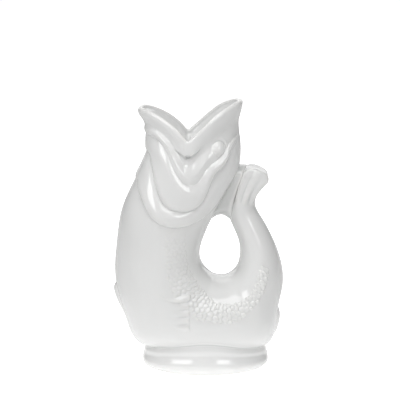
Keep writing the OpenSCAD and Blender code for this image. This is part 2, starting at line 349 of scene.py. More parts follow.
    def place(self, x: float, z: float, low: float, high: float) -> tuple[float, float]:
        """Station and turn of a side-view point.

        Args:
            x: Place along the fish.
            z: Height.
            low: First station to look at.
            high: Last station to look at.

        Returns:
            The station and the turn, held to the silhouette where the point lies past it.
        """
        t = np.linspace(low, high, 1200)
        outer, inner, _ = self.section(t)
        middle = (outer + inner) / 2
        reach = np.linalg.norm(inner - outer, axis=-1) / 2
        along = (inner - outer) / (2 * reach)[:, None]
        away = np.array([x, z]) - middle
        across = away[:, 0] * along[:, 1] - away[:, 1] * along[:, 0]
        share = (away * along).sum(axis=1) / reach
        passed = np.where(np.sign(across[:-1]) != np.sign(across[1:]))[0]
        if len(passed) == 0:
            best = int(np.argmin(np.abs(across)))
        else:
            best = int(passed[np.argmin(np.abs(share[passed]))])
        return float(t[best]), float(np.arccos(np.clip(share[best], -1, 1)))

    def locate(self, places: Array, low: float, high: float) -> tuple[Array, Array]:
        """Stations and turns of many side-view places.

        Args:
            places: Side-view (x, z) points along the last axis.
            low: First station to look at.
            high: Last station to look at.

        Returns:
            The stations and the turns, of the same shape as the points.
        """
        inset, longest, margin, batch = 0.08, 0.1, 0.02, 500
        grid_t, grid_a = np.meshgrid(np.linspace(low, high, 80), np.linspace(inset, math.pi - inset, 50),
                                     indexing="ij")
        known = self.point(grid_t, grid_a)[..., [0, 2]].reshape(-1, 2)
        flat = places.reshape(-1, 2)
        near = np.concatenate([
            np.argmin(((part[:, None, :] - known[None]) ** 2).sum(axis=-1), axis=1)
            for part in np.array_split(flat, max(1, len(flat) // batch))])
        t, a = grid_t.ravel()[near], grid_a.ravel()[near]
        # Each round steps from the known place towards the wanted one along the surface's slopes
        for _ in range(10):
            off = flat - self.point(t, a)[:, [0, 2]]
            along, around = self.slopes(t, a)
            area = along[:, 0] * around[:, 2] - along[:, 2] * around[:, 0]
            area = np.where(np.abs(area) < 1.0, 1.0, area)
            step_t = (off[:, 0] * around[:, 2] - off[:, 1] * around[:, 0]) / area
            step_a = (along[:, 0] * off[:, 1] - along[:, 2] * off[:, 0]) / area
            t = np.clip(t + np.clip(step_t, -longest, longest), low, high)
            a = np.clip(a + np.clip(step_a, -longest, longest), margin, math.pi - margin)
        return t.reshape(places.shape[:-1]), a.reshape(places.shape[:-1])


FISH = FishForm()


class EdgeLine:
    """A line on the fish, right round from the loop side to the outer side: a station for each turn."""

    def __init__(self, points: Points, low: float, high: float, blur: int = 0) -> None:
        """Lay a side-view line on the fish.

        Args:
            points: Side-view points, from the outer side to the loop side.
            low: First station that the line may reach.
            high: Last station that it may reach.
            blur: How much further than two places, of half a degree each, the corners are rounded.
        """
        found = np.array([FISH.place(x, z, low, high) for x, z in dense(points)])
        order = np.argsort(found[:, 1])
        self.turns = np.linspace(0, math.pi, 361)
        self.stations = np.interp(self.turns, found[order, 1], found[order, 0])
        self.stations = blurred(self.stations, 2 + blur)

    def at(self, a: Array) -> Array:
        """Stations of the line at some turns."""
        return np.interp(a, self.turns, self.stations)

    def shifted(self, a: Array, s: Array) -> Array:
        """Stations that lie a distance up the fish from the line, towards the mouth.

        Args:
            a: Turns.
            s: Distances square to the line, in millimetres.

        Returns:
            The stations.
        """
        rate, slant = self.measure(a)
        return self.at(a) - s * slant / rate

    def below(self, t: Array, a: Array) -> Array:
        """Distances square to the line at which places lie down the fish from it.

        Args:
            t: Stations of the places.
            a: Their turns.

        Returns:
            Distances in millimetres, less than nought towards the mouth.
        """
        rate, slant = self.measure(a)
        return (t - self.at(a)) * rate / slant

    def measure(self, a: Array) -> tuple[Array, Array]:
        """What turns stations into distances square to the line.

        Args:
            a: Turns.

        Returns:
            Millimetres along the fish for each station, and how many of those make one square to the line.
        """
        step = 0.01
        along, around = FISH.slopes(self.at(a), a)
        rate = np.linalg.norm(along, axis=-1)
        lean = (self.at(a + step) - self.at(a - step)) / (2 * step)
        lean = lean * rate / np.maximum(np.linalg.norm(around, axis=-1), 1e-6)
        return rate, np.sqrt(1 + lean**2)


class SurfaceLine:
    """A line drawn on the right side of the fish, from the throat round to the back, by equal lengths."""

    def __init__(self, t: Array, a: Array, count: int = 201) -> None:
        """Lay the line out afresh.

        Args:
            t: Stations along it.
            a: Turns along it.
            count: Number of places kept.
        """
        run = np.linalg.norm(np.diff(FISH.point(t, a), axis=0), axis=1)
        run = np.concatenate([[0], np.cumsum(run)]) / run.sum()
        even = np.linspace(0, 1, count)
        self.t, self.a = np.interp(even, run, t), np.interp(even, run, a)

    @classmethod
    def drawn(cls, points: Points, low: float, high: float,
              turns: tuple[float, float] = (0.0, math.pi), blur: int = 5) -> "SurfaceLine":
        """A line through side-view points.

        Args:
            points: Side-view points, from the outer side to the loop side.
            low: First station that it may reach.
            high: Last station that it may reach.
            turns: Least and greatest turn that is kept.
            blur: How many places its corners are rounded over.

        Returns:
            The line.
        """
        found = np.array([FISH.place(x, z, low, high) for x, z in dense(points)])
        outside = found[:, 1] >= math.pi - 1e-3
        first = int(np.max(np.where(outside)[0])) if outside.any() else 0
        behind = found[:, 1] <= 1e-3
        last = int(np.min(np.where(behind)[0])) + 1 if behind.any() else len(found)
        line = cls(found[first:last, 0], found[first:last, 1], count=401)
        t = blurred(line.t, 2 * blur)
        padded = np.concatenate([2 * line.a[0] - line.a[2 * blur:0:-1], line.a,
                                 2 * line.a[-1] - line.a[-2:-2 * blur - 2:-1]])
        weights = np.ones(4 * blur + 1) / (4 * blur + 1)
        a = np.convolve(padded, weights, mode="valid")
        keep = (a >= turns[0]) & (a <= turns[1])
        return cls(t[keep], a[keep])

    def moved(self, s: Array | float) -> tuple[Array, Array]:
        """Places at a distance square to the line, towards the mouth.

        Args:
            s: Distances in millimetres.

        Returns:
            Stations and turns.
        """
        along, around = FISH.slopes(self.t, self.a)
        tangent = np.gradient(FISH.point(self.t, self.a), axis=0)
        square = unit(np.cross(FISH.normal(self.t, self.a), tangent))
        # Station and turn for each millimetre, from the parts of the square direction along both slopes
        length, girth, shared = (along**2).sum(1), (around**2).sum(1), (along * around).sum(1)
        with_along, with_round = (square * along).sum(1), (square * around).sum(1)
        area = length * girth - shared**2
        step_t = (with_along * girth - with_round * shared) / area
        step_a = (with_round * length - with_along * shared) / area
        sign = -np.sign(step_t[len(step_t) // 2])
        step_t, step_a = blurred(step_t * sign, 3), blurred(step_a * sign, 3)
        for end in (0, -1):
            if min(abs(self.a[end]), abs(self.a[end] - math.pi)) < 1e-3:
                step_a[end] = 0.0
        return self.t + step_t * s, np.clip(self.a + step_a * s, 0, math.pi)


class Ramp:
    """A smooth function of the turn through chosen points."""

    def __init__(self, points: Points) -> None:
        """Join the points and round the corners.

        Args:
            points: Chosen (degrees, value) points, from nought to 180 degrees.
        """
        degrees, values = np.array(points, float).T
        self.degrees = np.linspace(0, 180, 361)
        self.values = blurred(np.interp(self.degrees, degrees, values), 8)

    def __call__(self, a: Array) -> Array:
        """Values at some turns."""
        return np.interp(np.degrees(a), self.degrees, self.values)


def wobble(p: Array) -> Array:
    """Small unevenness of a hand-finished casting, the same for neighbouring pieces.

    Args:
        p: Points in millimetres.

    Returns:
        Shifts in millimetres.
    """
    largest = 0.16
    # Radians for each millimetre along x, y and z, and the turn that each wave starts with
    waves = [(0.061, 0.043, 0.052, 0.4), (0.093, 0.071, -0.064, 1.7), (-0.118, 0.104, 0.091, 2.9),
             (0.171, -0.152, 0.143, 4.1)]
    out = np.zeros_like(p)
    for i, (u, v, w, turn) in enumerate(waves):
        phase = p[..., 0] * u + p[..., 1] * v + p[..., 2] * w + turn
        size = largest / (1 + i * 0.7)
        out[..., i % 3] += size * np.sin(phase)
        out[..., (i + 1) % 3] += size * 0.6 * np.cos(phase * 1.31)
    # The rim that stands on the floor stays flat
    level = np.clip((p[..., 2:3] - 3.0) / 12.0, 0, 1)
    return out * level


# Mesh tools


def sheet(points: Array) -> bmesh.types.BMesh:
    """A grid shaped to rows and columns of points.

    Args:
        points: Array of rows, columns and (x, y, z) in millimetres.

    Returns:
        A new bmesh in metres.
    """
    rows, cols = points.shape[:2]
    bm = bmesh.new()
    bmesh.ops.create_grid(bm, x_segments=cols - 1, y_segments=rows - 1, size=1.0)
    for v in bm.verts:
        i = round((v.co.y + 1) / 2 * (rows - 1))
        j = round((v.co.x + 1) / 2 * (cols - 1))
        v.co = Vector(points[i, j]) * MM
    return bm


def add_sheet(bm: bmesh.types.BMesh, points: Array) -> None:
    """Add a shaped grid to a bmesh that already holds others.

    Args:
        bm: The bmesh.
        points: Array of rows, columns and (x, y, z) in millimetres.
    """
    extra = sheet(points)
    mesh = bpy.data.meshes.new("part")
    extra.to_mesh(mesh)
    extra.free()
    bm.from_mesh(mesh)
    bpy.data.meshes.remove(mesh)


def mirror_side(bm: bmesh.types.BMesh) -> None:
    """Add the left side to a right side and join the two along the middle.

    Args:
        bm: The right side.
    """
    for v in bm.verts:
        if abs(v.co.y) < WELD:
            v.co.y = 0.0
    geom = bm.verts[:] + bm.edges[:] + bm.faces[:]
    bmesh.ops.mirror(bm, geom=geom, axis="Y", merge_dist=WELD / 2)
    bmesh.ops.remove_doubles(bm, verts=bm.verts[:], dist=WELD)


def open_loops(bm: bmesh.types.BMesh) -> list[list[bmesh.types.BMEdge]]:
    """The open borders of a mesh.

    Args:
        bm: The mesh.

    Returns:
        A list of edges for each border, in the same order at each run.
    """
    bm.edges.index_update()
    left = {e.index: e for e in bm.edges if e.is_boundary}
    loops = []
    while left:
        stack = [left.popitem()[1]]
        loop = []
        while stack:
            e = stack.pop()
            loop.append(e)
            for v in e.verts:
                stack += [left.pop(other.index) for other in v.link_edges if other.index in left]
        loops.append(loop)
    return loops


def loop_middle(loop: list[bmesh.types.BMEdge]) -> Vector:
    """Middle of a border."""
    points = [v.co for e in loop for v in e.verts]
    return sum(points, Vector()) / len(points)


def bridge_near(bm: bmesh.types.BMesh) -> None:
    """Join each open border to the nearest other one, and cap what is left.

    Args:
        bm: The mesh.
    """
    loops = open_loops(bm)
    while len(loops) > 1:
        first = loops.pop(0)
        middle = loop_middle(first)
        gaps = [(loop_middle(other) - middle).length for other in loops]
        loops = [loops[i] for i in np.argsort(gaps, kind="stable")]
        if min(gaps) > BRIDGE_REACH:
            bmesh.ops.holes_fill(bm, edges=first, sides=0)
            continue
        bmesh.ops.bridge_loops(bm, edges=first + loops.pop(0))
    for loop in loops:
        bmesh.ops.holes_fill(bm, edges=loop, sides=0)


def finish_mesh(bm: bmesh.types.BMesh, name: str, merge: float = WELD) -> bpy.types.Object:
    """Close, turn outwards and smooth a mesh, and make it an object.

    Args:
        bm: The mesh, which is freed.
        name: Name of the object.
        merge: Distance in metres within which points are joined.

    Returns:
        The object, at the origin.
    """
    bmesh.ops.remove_doubles(bm, verts=bm.verts[:], dist=merge)
    bmesh.ops.dissolve_degenerate(bm, dist=merge, edges=bm.edges[:])
    bmesh.ops.recalc_face_normals(bm, faces=bm.faces[:])
    if bm.calc_volume(signed=True) < 0:
        bmesh.ops.reverse_faces(bm, faces=bm.faces[:])
    mesh = bpy.data.meshes.new(name)
    bm.to_mesh(mesh)
    bm.free()
    mesh.shade_smooth()
    mesh.set_sharp_from_angle(angle=SHARP_ANGLE)
    obj = bpy.data.objects.new(name, mesh)
    bpy.context.scene.collection.objects.link(obj)
    return obj


def settle(obj: bpy.types.Object, nodes: list[str], material: bpy.types.Material) -> bpy.types.Object:
    """Dress a piece and tie it to the frame.

    Args:
        obj: The piece.
        nodes: Solids that it stands for.
        material: Its material.

    Returns:
        The piece.
    """
    obj.data.materials.clear()
    obj.data.materials.append(material)
    mark_bends(obj.data)
    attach(obj, "root")
    if nodes:
        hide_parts(*nodes)
    corners = np.array([v.co for v in obj.data.vertices]) / MM
    LOG.info("%s: %d faces, from %s to %s mm", obj.name, len(obj.data.polygons),
             np.round(corners.min(axis=0), 1), np.round(corners.max(axis=0), 1))
    return obj


def closed_patch(front: Array, back: Array, side: Side) -> bmesh.types.BMesh:
    """A closed piece between a front and a back grid.

    Args:
        front: Rows and columns of points on the face.
        back: As many points behind it.
        side: Side of the fish that it lies on.

    Returns:
        A new bmesh.
    """
    bm = sheet(front)
    add_sheet(bm, back)
    if side is Side.LEFT:
        for v in bm.verts:
            v.co.y = -v.co.y
    bmesh.ops.remove_doubles(bm, verts=bm.verts[:], dist=WELD)
    bridge_near(bm)
    return bm


def shake(bm: bmesh.types.BMesh) -> None:
    """Give a whole mesh the casting's small unevenness.

    Args:
        bm: The mesh.
    """
    p = np.array([v.co for v in bm.verts]) / MM
    moved = (p + wobble(p)) * MM
    for v, co in zip(bm.verts, moved):
        v.co = Vector(co)


def edge_distance(places: Array, outline: Array) -> Array:
    """How far inside a closed side-view outline each place lies.

    Args:
        places: (x, z) points along the last axis.
        outline: The outline's points, without a repeated end.

    Returns:
        Distances in millimetres, less than nought outside.
    """
    start, end = outline, np.roll(outline, -1, axis=0)
    p = places[..., None, :]
    along = end - start
    share = np.clip(((p - start) * along).sum(-1) / (along**2).sum(-1), 0, 1)
    gap = np.linalg.norm(p - start - along * share[..., None], axis=-1).min(axis=-1)
    crosses = (start[:, 1] > p[..., 1]) != (end[:, 1] > p[..., 1])
    rise = np.where(np.abs(along[:, 1]) < 1e-9, 1e-9, along[:, 1])
    at = start[:, 0] + (p[..., 1] - start[:, 1]) / rise * along[:, 0]
    inside = (crosses & (p[..., 0] < at)).sum(axis=-1) % 2 == 1
    return np.where(inside, gap, -gap)


# Lines of the head


@dataclass
class HeadLines:
    """Lines that bound the layers of the head, in side view, and how far each layer stands out."""

    # Turns between which the gill covers show, and the turn at which the cheeks begin
    plates: tuple[float, float] = (math.radians(15), math.pi - 0.07)
    cheek_start: float = math.radians(38)
    # Share of a layer's rise that is left in the valley where the next layer begins
    valley: float = 0.12
    rim_points: Points = (
        (-72, 229), (-59, 231.0), (-53.5, 232.0), (-43, 228.3), (-32, 222.2), (-23.5, 215.5), (-18.5, 210.2),
        (-14.5, 206.6), (-10, 210.2), (-2.2, 217.4), (6, 225), (13.7, 231.0), (24, 236.2), (33, 238.6),
        (45, 239.6))
    fold_points: Points = (
        (-72, 222), (-52, 219), (-38, 210), (-28, 200.5), (-20.8, 195.4), (-13.7, 193.2), (-6.6, 197.4),
        (1, 205.5), (12, 216), (26, 224), (45, 228))
    cheek_points: Points = (
        (-75, 210.5), (-51, 209), (-42.2, 206.8), (-36.5, 201.5), (-32.5, 194.7), (-30, 186.5),
        (-25.3, 177.2), (-18.8, 170.6), (-12, 168.6), (-4, 172.5), (3, 183), (12, 190), (22, 199), (36, 203))
    cover_points: Points = (
        (-75, 195.5), (-50.2, 193.6), (-46.1, 185.7), (-43.8, 174.5), (-40.6, 161.8), (-35.8, 152.7),
        (-28.5, 147.4), (-16, 145.2), (-5.5, 149.5), (1, 158.5), (5, 169), (9, 177.5), (15.5, 183.0),
        (20.4, 189.5), (22.6, 197), (28, 204), (40, 206))
    collar_points: Points = (
        (-75, 175), (-60, 168.5), (-57.2, 161), (-48, 142.5), (-34, 133.4), (-16.4, 132.5), (-1.4, 138),
        (10, 149), (18, 162), (27, 171.5), (40, 175))

    def __post_init__(self) -> None:
        """Lay the lines on the fish."""
        self.rim = EdgeLine(self.rim_points, 0.0, 3.0, blur=3)
        self.fold = EdgeLine(self.fold_points, 0.5, 4.0, blur=2)
        self.collar = EdgeLine(self.collar_points, 2.0, 6.5, blur=1)
        self.collar_line = SurfaceLine.drawn(self.collar_points, 2.0, 6.5)
        self.cover_line = SurfaceLine.drawn(self.cover_points, 1.0, 5.5, self.plates)
        # The cover line goes only as far as the plates do, so the collar's upper edge runs on to the middle
        self.whole_cover_line = SurfaceLine.drawn(self.cover_points, 1.0, 5.5)
        self.cheek_line = SurfaceLine.drawn(self.cheek_points, 1.0, 4.5, (self.cheek_start, self.plates[1]))
        self.plate_top = SurfaceLine.drawn(self.cheek_points, 1.0, 4.5, self.plates)
        self.collar_rise = Ramp([(0, 1.0), (20, 1.8), (45, 3.6), (130, 3.8), (155, 2.4), (180, 1.5)])
        self.cover_rise = Ramp([(0, 0.0), (22, 0.0), (36, 2.0), (52, 3.8), (125, 3.9), (155, 2.4),
                                (180, 1.5)])
        self.cheek_rise = Ramp([(0, 0.0), (50, 0.0), (68, 0.8), (84, 2.4), (100, 3.2), (130, 3.4), (155, 2.2),
                                (180, 1.4)])

    def cover_base(self, a: Array) -> Array:
        """Height of the collar in the valley where the gill covers begin."""
        return self.valley * self.collar_rise(a)

    def cheek_base(self, a: Array) -> Array:
        """Height of the gill covers in the valley where the cheeks begin."""
        return self.cover_base(a) + self.valley * self.cover_rise(a)

    def throat_edge(self, t: Array, a: Array) -> Array:
        """Height of the edge of the trunk's skin just under the collar, at the throat.

        Args:
            t: Stations.
            a: Turns.

        Returns:
            Heights in millimetres.
        """
        along, _ = FISH.slopes(t, a)
        below = (t - self.collar.at(a)) * np.linalg.norm(along, axis=-1)
        at_throat = smooth_step((np.degrees(a) - 120) / 40)
        return 1.5 * at_throat * nose(below + 0.5, 1.2) * np.exp(-np.clip(below, 0, None) / 9.0)


def nose(s: Array, radius: float) -> Array:
    """Share of a layer's rise near its edge, which is a rounded nose.

    Args:
        s: Distances inside the edge.
        radius: Distance at which the whole rise is reached.

    Returns:
        Shares from nought to one.
    """
    u = np.clip(s / radius, 0, 1)
    return np.sqrt(np.clip(1 - (1 - u) ** 2, 0, 1))


def turn_points(count: int) -> Array:
    """Even turns for the columns of a half ring, from the loop side to the outer side."""
    return np.linspace(0, math.pi, count)


# Shells


@dataclass
class HeadShell:
    """Head with the open mouth: outside, rolled lip and inside."""

    lines: HeadLines
    columns: int = 161
    rows: int = 56
    inner_rows: int = 40
    # Radius of the lip's edge, and how far its roll stands out under and over the mouth's corner
    lip_radius: float = 3.0
    lower_lip: float = 2.3
    upper_lip: float = 3.2
    # Distances below the lip to the fold that the cheeks end in, and to the last of the relief
    crease: float = 10.6
    reach: float = 30.0
    # Extra thickness of the wall inside the mouth, and the distance over which it grows
    throat: float = 7.5
    throat_fade: float = 7.0
    # Station of the seam with the trunk, and side-view place of the mouth's corner
    bottom: float = 4.0
    corner: tuple[float, float] = (-14.5, 206.0)

    def corner_turn(self) -> float:
        """Turn at which the mouth's corner lies."""
        return float(FISH.place(*self.corner, 0.5, 3.0)[1])

    def line(self, a: Array, s: float) -> Array:
        """Stations at a distance below the lip's widest line."""
        return self.lines.rim.shifted(a, -np.full_like(a, self.lip_radius + s))

    def fold(self, a: Array) -> Array:
        """Stations where the cheeks end under the lip's roll, lower at the mouth's corner.

        Args:
            a: Turns.

        Returns:
            The stations.
        """
        turns = turn_points(361)
        near = np.exp(-(((turns - self.corner_turn()) / 0.3) ** 2))
        line = self.lines.rim.shifted(turns, -(self.lip_radius + self.crease - 2.0 + 5.5 * near))
        return np.interp(a, turns, blurred(line, 10))

    def relief(self, t: Array, a: Array) -> Array:
        """How far the lip's roll and the folds under it stand out of the plain fish.

        Args:
            t: Stations.
            a: Turns.

        Returns:
            Heights in millimetres.
        """
        t, a = np.broadcast_arrays(np.asarray(t, float), np.asarray(a, float))
        s = np.clip(self.lines.rim.below(t, a) - self.lip_radius, 0, self.reach)
        corner = self.corner_turn()
        upper = smooth_step((corner - a) / 0.35 + 0.5)
        near = np.exp(-(((a - corner) / 0.21) ** 2))
        rise = self.lower_lip + (self.upper_lip - self.lower_lip) * upper
        rise = rise * (0.4 + 0.6 * smooth_step(a / 0.9))
        width = 8.0 + 4.0 * upper
        # Away from the corner the roll runs out softly, and at the corner it ends in a hard fold
        valley = (0.5 + 0.9 * upper) * np.exp(-(((s - 13.0) / 6.0) ** 2))
        soft = rise * (1 - smooth_step((s - 0.5) / width)) - valley
        below = self.lines.fold.below(t, a)
        drop = 1 - smooth_step(below / 1.2 + 0.5)
        hard = 2.8 * drop - 1.5 * (1 - drop) * np.exp(-np.maximum(below, 0.0) / 4.0)
        return (soft * (1 - near) + hard * near) * smooth_step((self.reach - s) / 8.0)

    def face(self, a: Array) -> list[Array]:
        """Rows of points on the outside, from the seam with the trunk up to the lip's widest line.

        Args:
            a: Turns of the columns.

        Returns:
            The rows.
        """
        foot = self.line(a, self.reach)
        out = [FISH.point(self.bottom + (foot - self.bottom) * k / self.rows, a) for k in range(self.rows)]
        # The rows stand closest round the fold under the roll
        steps = np.concatenate([np.linspace(self.reach, 18, 10)[:-1], np.linspace(18, 6, 34)[:-1],
                                np.linspace(6, 0.0, 12)])
        for s in steps:
            t = self.line(a, s)
            out.append(FISH.point(t, a) + FISH.normal(t, a) * self.relief(t, a)[:, None])
        return out

    def lip(self, a: Array, rise: Array) -> list[Array]:
        """Rows of points over the lip, from its outer side to its inner side.

        Args:
            a: Turns of the columns.
            rise: How far the roll stands out of the plain fish.

        Returns:
            The rows.
        """
        top = self.line(a, 0.0)
        base = FISH.point(top, a)
        n = FISH.normal(top, a)
        tangent = np.gradient(base, axis=0)
        tangent /= np.linalg.norm(tangent, axis=-1, keepdims=True)
        up = np.cross(tangent, n)
        up *= np.sign(up[:, 2:3])
        up /= np.linalg.norm(up, axis=-1, keepdims=True)
        up[0, 1] = up[-1, 1] = 0.0
        rows = []
        for phi in np.linspace(0, math.pi, 17)[1:]:
            out = n * (rise - FISH.wall / 2 * (1 - math.cos(phi)))
            rows.append(base + out + up * (self.lip_radius * math.sin(phi)))
        return rows

    def inside(self, a: Array, rise: Array) -> list[Array]:
        """Rows of points on the inside, from the lip down to the seam: the wall thickens under the lip.

        Args:
            a: Turns of the columns.
            rise: How far the roll stands out of the plain fish.

        Returns:
            The rows.
        """
        out = []
        for s in np.linspace(0, self.reach, 24)[1:]:
            t = self.line(a, s)
            thick = FISH.wall + self.throat * (1 - math.exp(-s / self.throat_fade))
            h = rise[:, 0] * (1 - s / self.reach) - thick
            out.append(FISH.point(t, a) + FISH.normal(t, a) * h[:, None])
        foot = self.line(a, self.reach)
        grown = self.throat * (1 - math.exp(-self.reach / self.throat_fade))
        for k in range(1, self.inner_rows + 1):
            t = foot + (self.bottom - foot) * k / self.inner_rows
            thick = FISH.wall + grown * (1 - k / self.inner_rows)
            out.append(FISH.point(t, a) - FISH.normal(t, a) * thick)
        return out

    def build(self, material: bpy.types.Material) -> bpy.types.Object:
        """Make the piece.

        Args:
            material: Its material.

        Returns:
            The piece.
        """
        a = turn_points(self.columns)
        rise = self.relief(self.line(a, 0.0), a)[:, None]
        bm = sheet(np.array(self.face(a) + self.lip(a, rise) + self.inside(a, rise)))
        mirror_side(bm)
        bridge_near(bm)
        shake(bm)
        return settle(finish_mesh(bm, "head"), ["head_shell"], material)


@dataclass
class BodyShell:
    """A hollow stretch of the fish between two stations."""

    name: str
    node: str
    first: float
    last: float
    rows: int
    relief: Field
    columns: int = 121
    inner_rows: int = 48

    def grid(self, depth: float) -> Array:
        """Rows of points on the outside, or at a depth inside it.

        Args:
            depth: Nought for the outside with its relief.

        Returns:
            Array of rows, columns and (x, y, z) in millimetres.
        """
        a = turn_points(self.columns)
        rows = self.rows if depth == 0 else self.inner_rows
        t, a = np.meshgrid(np.linspace(self.first, self.last, rows), a, indexing="ij")
        out = self.relief(t, a) if depth == 0 else np.zeros_like(t)
        return FISH.point(t, a) + FISH.normal(t, a) * (out - depth)[..., None]

    def build(self, material: bpy.types.Material) -> bpy.types.Object:
        """Make the piece.

        Args:
            material: Its material.

        Returns:
            The piece.
        """
        bm = sheet(self.grid(0.0))
        add_sheet(bm, self.grid(FISH.wall))
        mirror_side(bm)
        bridge_near(bm)
        shake(bm)
        return settle(finish_mesh(bm, self.name), [self.node], material)


# Layers on the head


@dataclass
class Layer:
    """A raised layer of clay that lies on the fish above a line and ends in a rounded nose along it."""

    name: str
    node: str
    lower: SurfaceLine
    upper: SurfaceLine
    # How far the upper edge runs on under the next layer
    tuck: float
    base: Profile
    rise: Profile
    # Length and power of the rounded nose, and length over which the layer falls to its valley
    radius: float = 5.0
    roundness: float = 2.0
    shoulder: float = 13.0
    # Share of the rise that is left in the valley, and share that is lost towards the upper edge
    valley: float = 0.12
    fade: float = 0.0
    ground: Field | None = None
    depth: float = BURIED
    rows: int = 46

    def height(self, s: Array, length: Array, a: Array, side: Side | None) -> Array:
        """How far the layer's face stands out of the plain fish.

        Args:
            s: Distance above the lower edge.
            length: Distance of the upper edge from the lower one.
            a: Turn.
            side: Side that it lies on, or None where it goes right round.

        Returns:
            Heights in millimetres.
        """
        rise, base = self.rise(a), self.base(a)
        open_width = np.maximum(length - self.tuck, 1.0)
        shoulder = np.minimum(0.66 * open_width, self.shoulder)
        top = 1 - (1 - np.clip((open_width + 0.5 - s) / shoulder, 0, 1)) ** 2
        edge = 1 - (1 - np.clip(s / self.radius, 0, 1)) ** self.roundness
        if self.roundness == 2.0:
            edge = np.clip(edge, 0, 1) ** 0.75
        full = base + rise * edge * (self.valley + (1 - self.valley) * top)
        full = full * (1 - self.fade * smooth_step((s / length - 0.25) / 0.72))
        full = np.where(s < 0, base + s * 1.3, full)
        if self.tuck > 0:
            full = full - (full + 0.8) * smooth_step((s - length + self.tuck) / self.tuck)
        else:
            full = full - 0.12 * smooth_step((s / length - 0.5) / 0.4)
            full = full - 0.5 * smooth_step((s - length + 0.8) / 0.8)
        if side is None:
            return full
        # Where it has no rise, and at its end towards the throat, the layer dips under the skin
        shown = smooth_step(rise / 0.5)
        radius_at_throat = 36.0
        away = (a.max() - a) * radius_at_throat
        return full - 0.6 * (1 - shown) - (full + 0.6) * (1 - nose(away, 2.5))

    def build(self, material: bpy.types.Material, side: Side | None = None) -> bpy.types.Object:
        """Make the piece.

        Args:
            material: Its material.
            side: The side it lies on, or None where it goes right round.

        Returns:
            The piece.
        """
        # Distances of the rows that follow the lower edge, closest where its nose is steepest
        near = np.array([-1.0, -0.5, -0.15, 0.0, 0.03, 0.1, 0.22, 0.4, 0.64, 0.95, 1.3, 1.75, 2.3, 3.0, 3.9,
                         5.0])
        places = [self.lower.moved(d) for d in near]
        start, end = places[-1], self.upper.moved(self.tuck)
        run = np.linalg.norm(FISH.point(*start) - FISH.point(*end), axis=1)
        distances = [np.full_like(run, d) for d in near]
        for k in range(1, self.rows + 1):
            share = k / self.rows
            places.append((start[0] + (end[0] - start[0]) * share, start[1] + (end[1] - start[1]) * share))
            distances.append(near[-1] + run * share)
        t, a = np.array([p[0] for p in places]), np.array([p[1] for p in places])
        s = np.array(distances)
        h = self.height(s, np.broadcast_to(run + near[-1], s.shape), a, side)
        if self.ground is not None:
            h = h + self.ground(t, a)
        normal = FISH.normal(t, a)
        face = FISH.point(t, a) + normal * h[..., None]
        under = FISH.point(t, a) - normal * self.depth
        if side is not None:
            bm = closed_patch(face, under, side)
        else:
            bm = sheet(face)
            add_sheet(bm, under)
            mirror_side(bm)
            bridge_near(bm)
        shake(bm)
        return settle(finish_mesh(bm, self.name), [self.node], material)


# Eyes


@dataclass
class Eye:
    """Bulging eye: a ball in a ring of lid."""

    x: float = 12.0
    z: float = 198.6
    # Radius and height of the ball, and of the lid round it
    radius: float = 6.9
    rise: float = 2.3
    lid: float = 11.9
    lid_rise: float = 0.8
    # Swelling that carries the eye, the groove round the ball, and where the bag under it is fullest
    mound: float = 1.2
    groove: float = 0.5
    bag_turn: float = 3.9
    spokes: int = 96

    def height(self, r: Array, turn: Array) -> Array:
        """Height of the ball and its lid.

        Args:
            r: Distances from the eye's middle.
            turn: Directions round it.

        Returns:
            Heights in millimetres.
        """
        mound = self.mound * np.cos(np.clip(r / self.lid, 0, 1) * math.pi / 2) ** 2
        ball = self.rise * np.clip(1 - (r / self.radius) ** 2, 0, 1) ** 0.8
        bag = np.clip(0.55 + 0.45 * np.cos(turn - self.bag_turn), 0, 1)
        ring = self.lid_rise * bag * np.exp(-(((r - self.radius - 1.9) / 1.5) ** 2))
        crease = self.groove * bag * np.exp(-(((r - self.radius - 0.2) / 0.7) ** 2))
        return mound + ball + ring - crease - 0.5 * smooth_step((r - self.lid + 2.0) / 2.0)

    def build(self, side: Side, base: Field, material: bpy.types.Material) -> bpy.types.Object:
        """Make the piece on one side.

        Args:
            side: The side.
            base: Height of the ground that the eye stands on.
            material: Its material.

        Returns:
            The piece.
        """
        middle_t, middle_a = FISH.place(self.x, self.z, 0.8, 3.5)
        along, around = FISH.slopes(np.array(middle_t), np.array(middle_a))
        unit_a, unit_t = around / np.linalg.norm(around), along / np.linalg.norm(along)
        # Rings, closest together in the crease round the ball
        rings = np.array([0, 0.7, 1.4, 2.1, 2.8, 3.5, 4.2, 4.8, 5.4, 5.9, 6.3, 6.6, 6.75, 6.85, 6.95, 7.1,
                          7.3, 7.6, 8.0, 8.4, 8.9, 9.4, 9.9, 10.4, 10.9, 11.4, 11.9])
        r, turn = np.meshgrid(rings, np.linspace(0, TAU, self.spokes + 1), indexing="ij")
        offset = (unit_a * np.cos(turn)[..., None] - unit_t * np.sin(turn)[..., None]) * r[..., None]
        t = middle_t + (offset * (along / np.dot(along, along))).sum(-1)
        a = middle_a + (offset * (around / np.dot(around, around))).sum(-1)
        h = base(t, a) + self.height(r, turn)
        normal = FISH.normal(t, a)
        middle_normal = FISH.normal(np.array(middle_t), np.array(middle_a))
        blend = (1 - smooth_step(r / 9.0))[..., None]
        lift = normal * (1 - blend) + middle_normal * blend
        plain = FISH.point(t, a)
        bm = closed_patch(plain + lift * h[..., None], plain - normal * BURIED, side)
        shake(bm)
        tag = side.name.lower()
        return settle(finish_mesh(bm, f"eye_{tag}_ball"), [f"eye_{tag}"], material)


# Fins


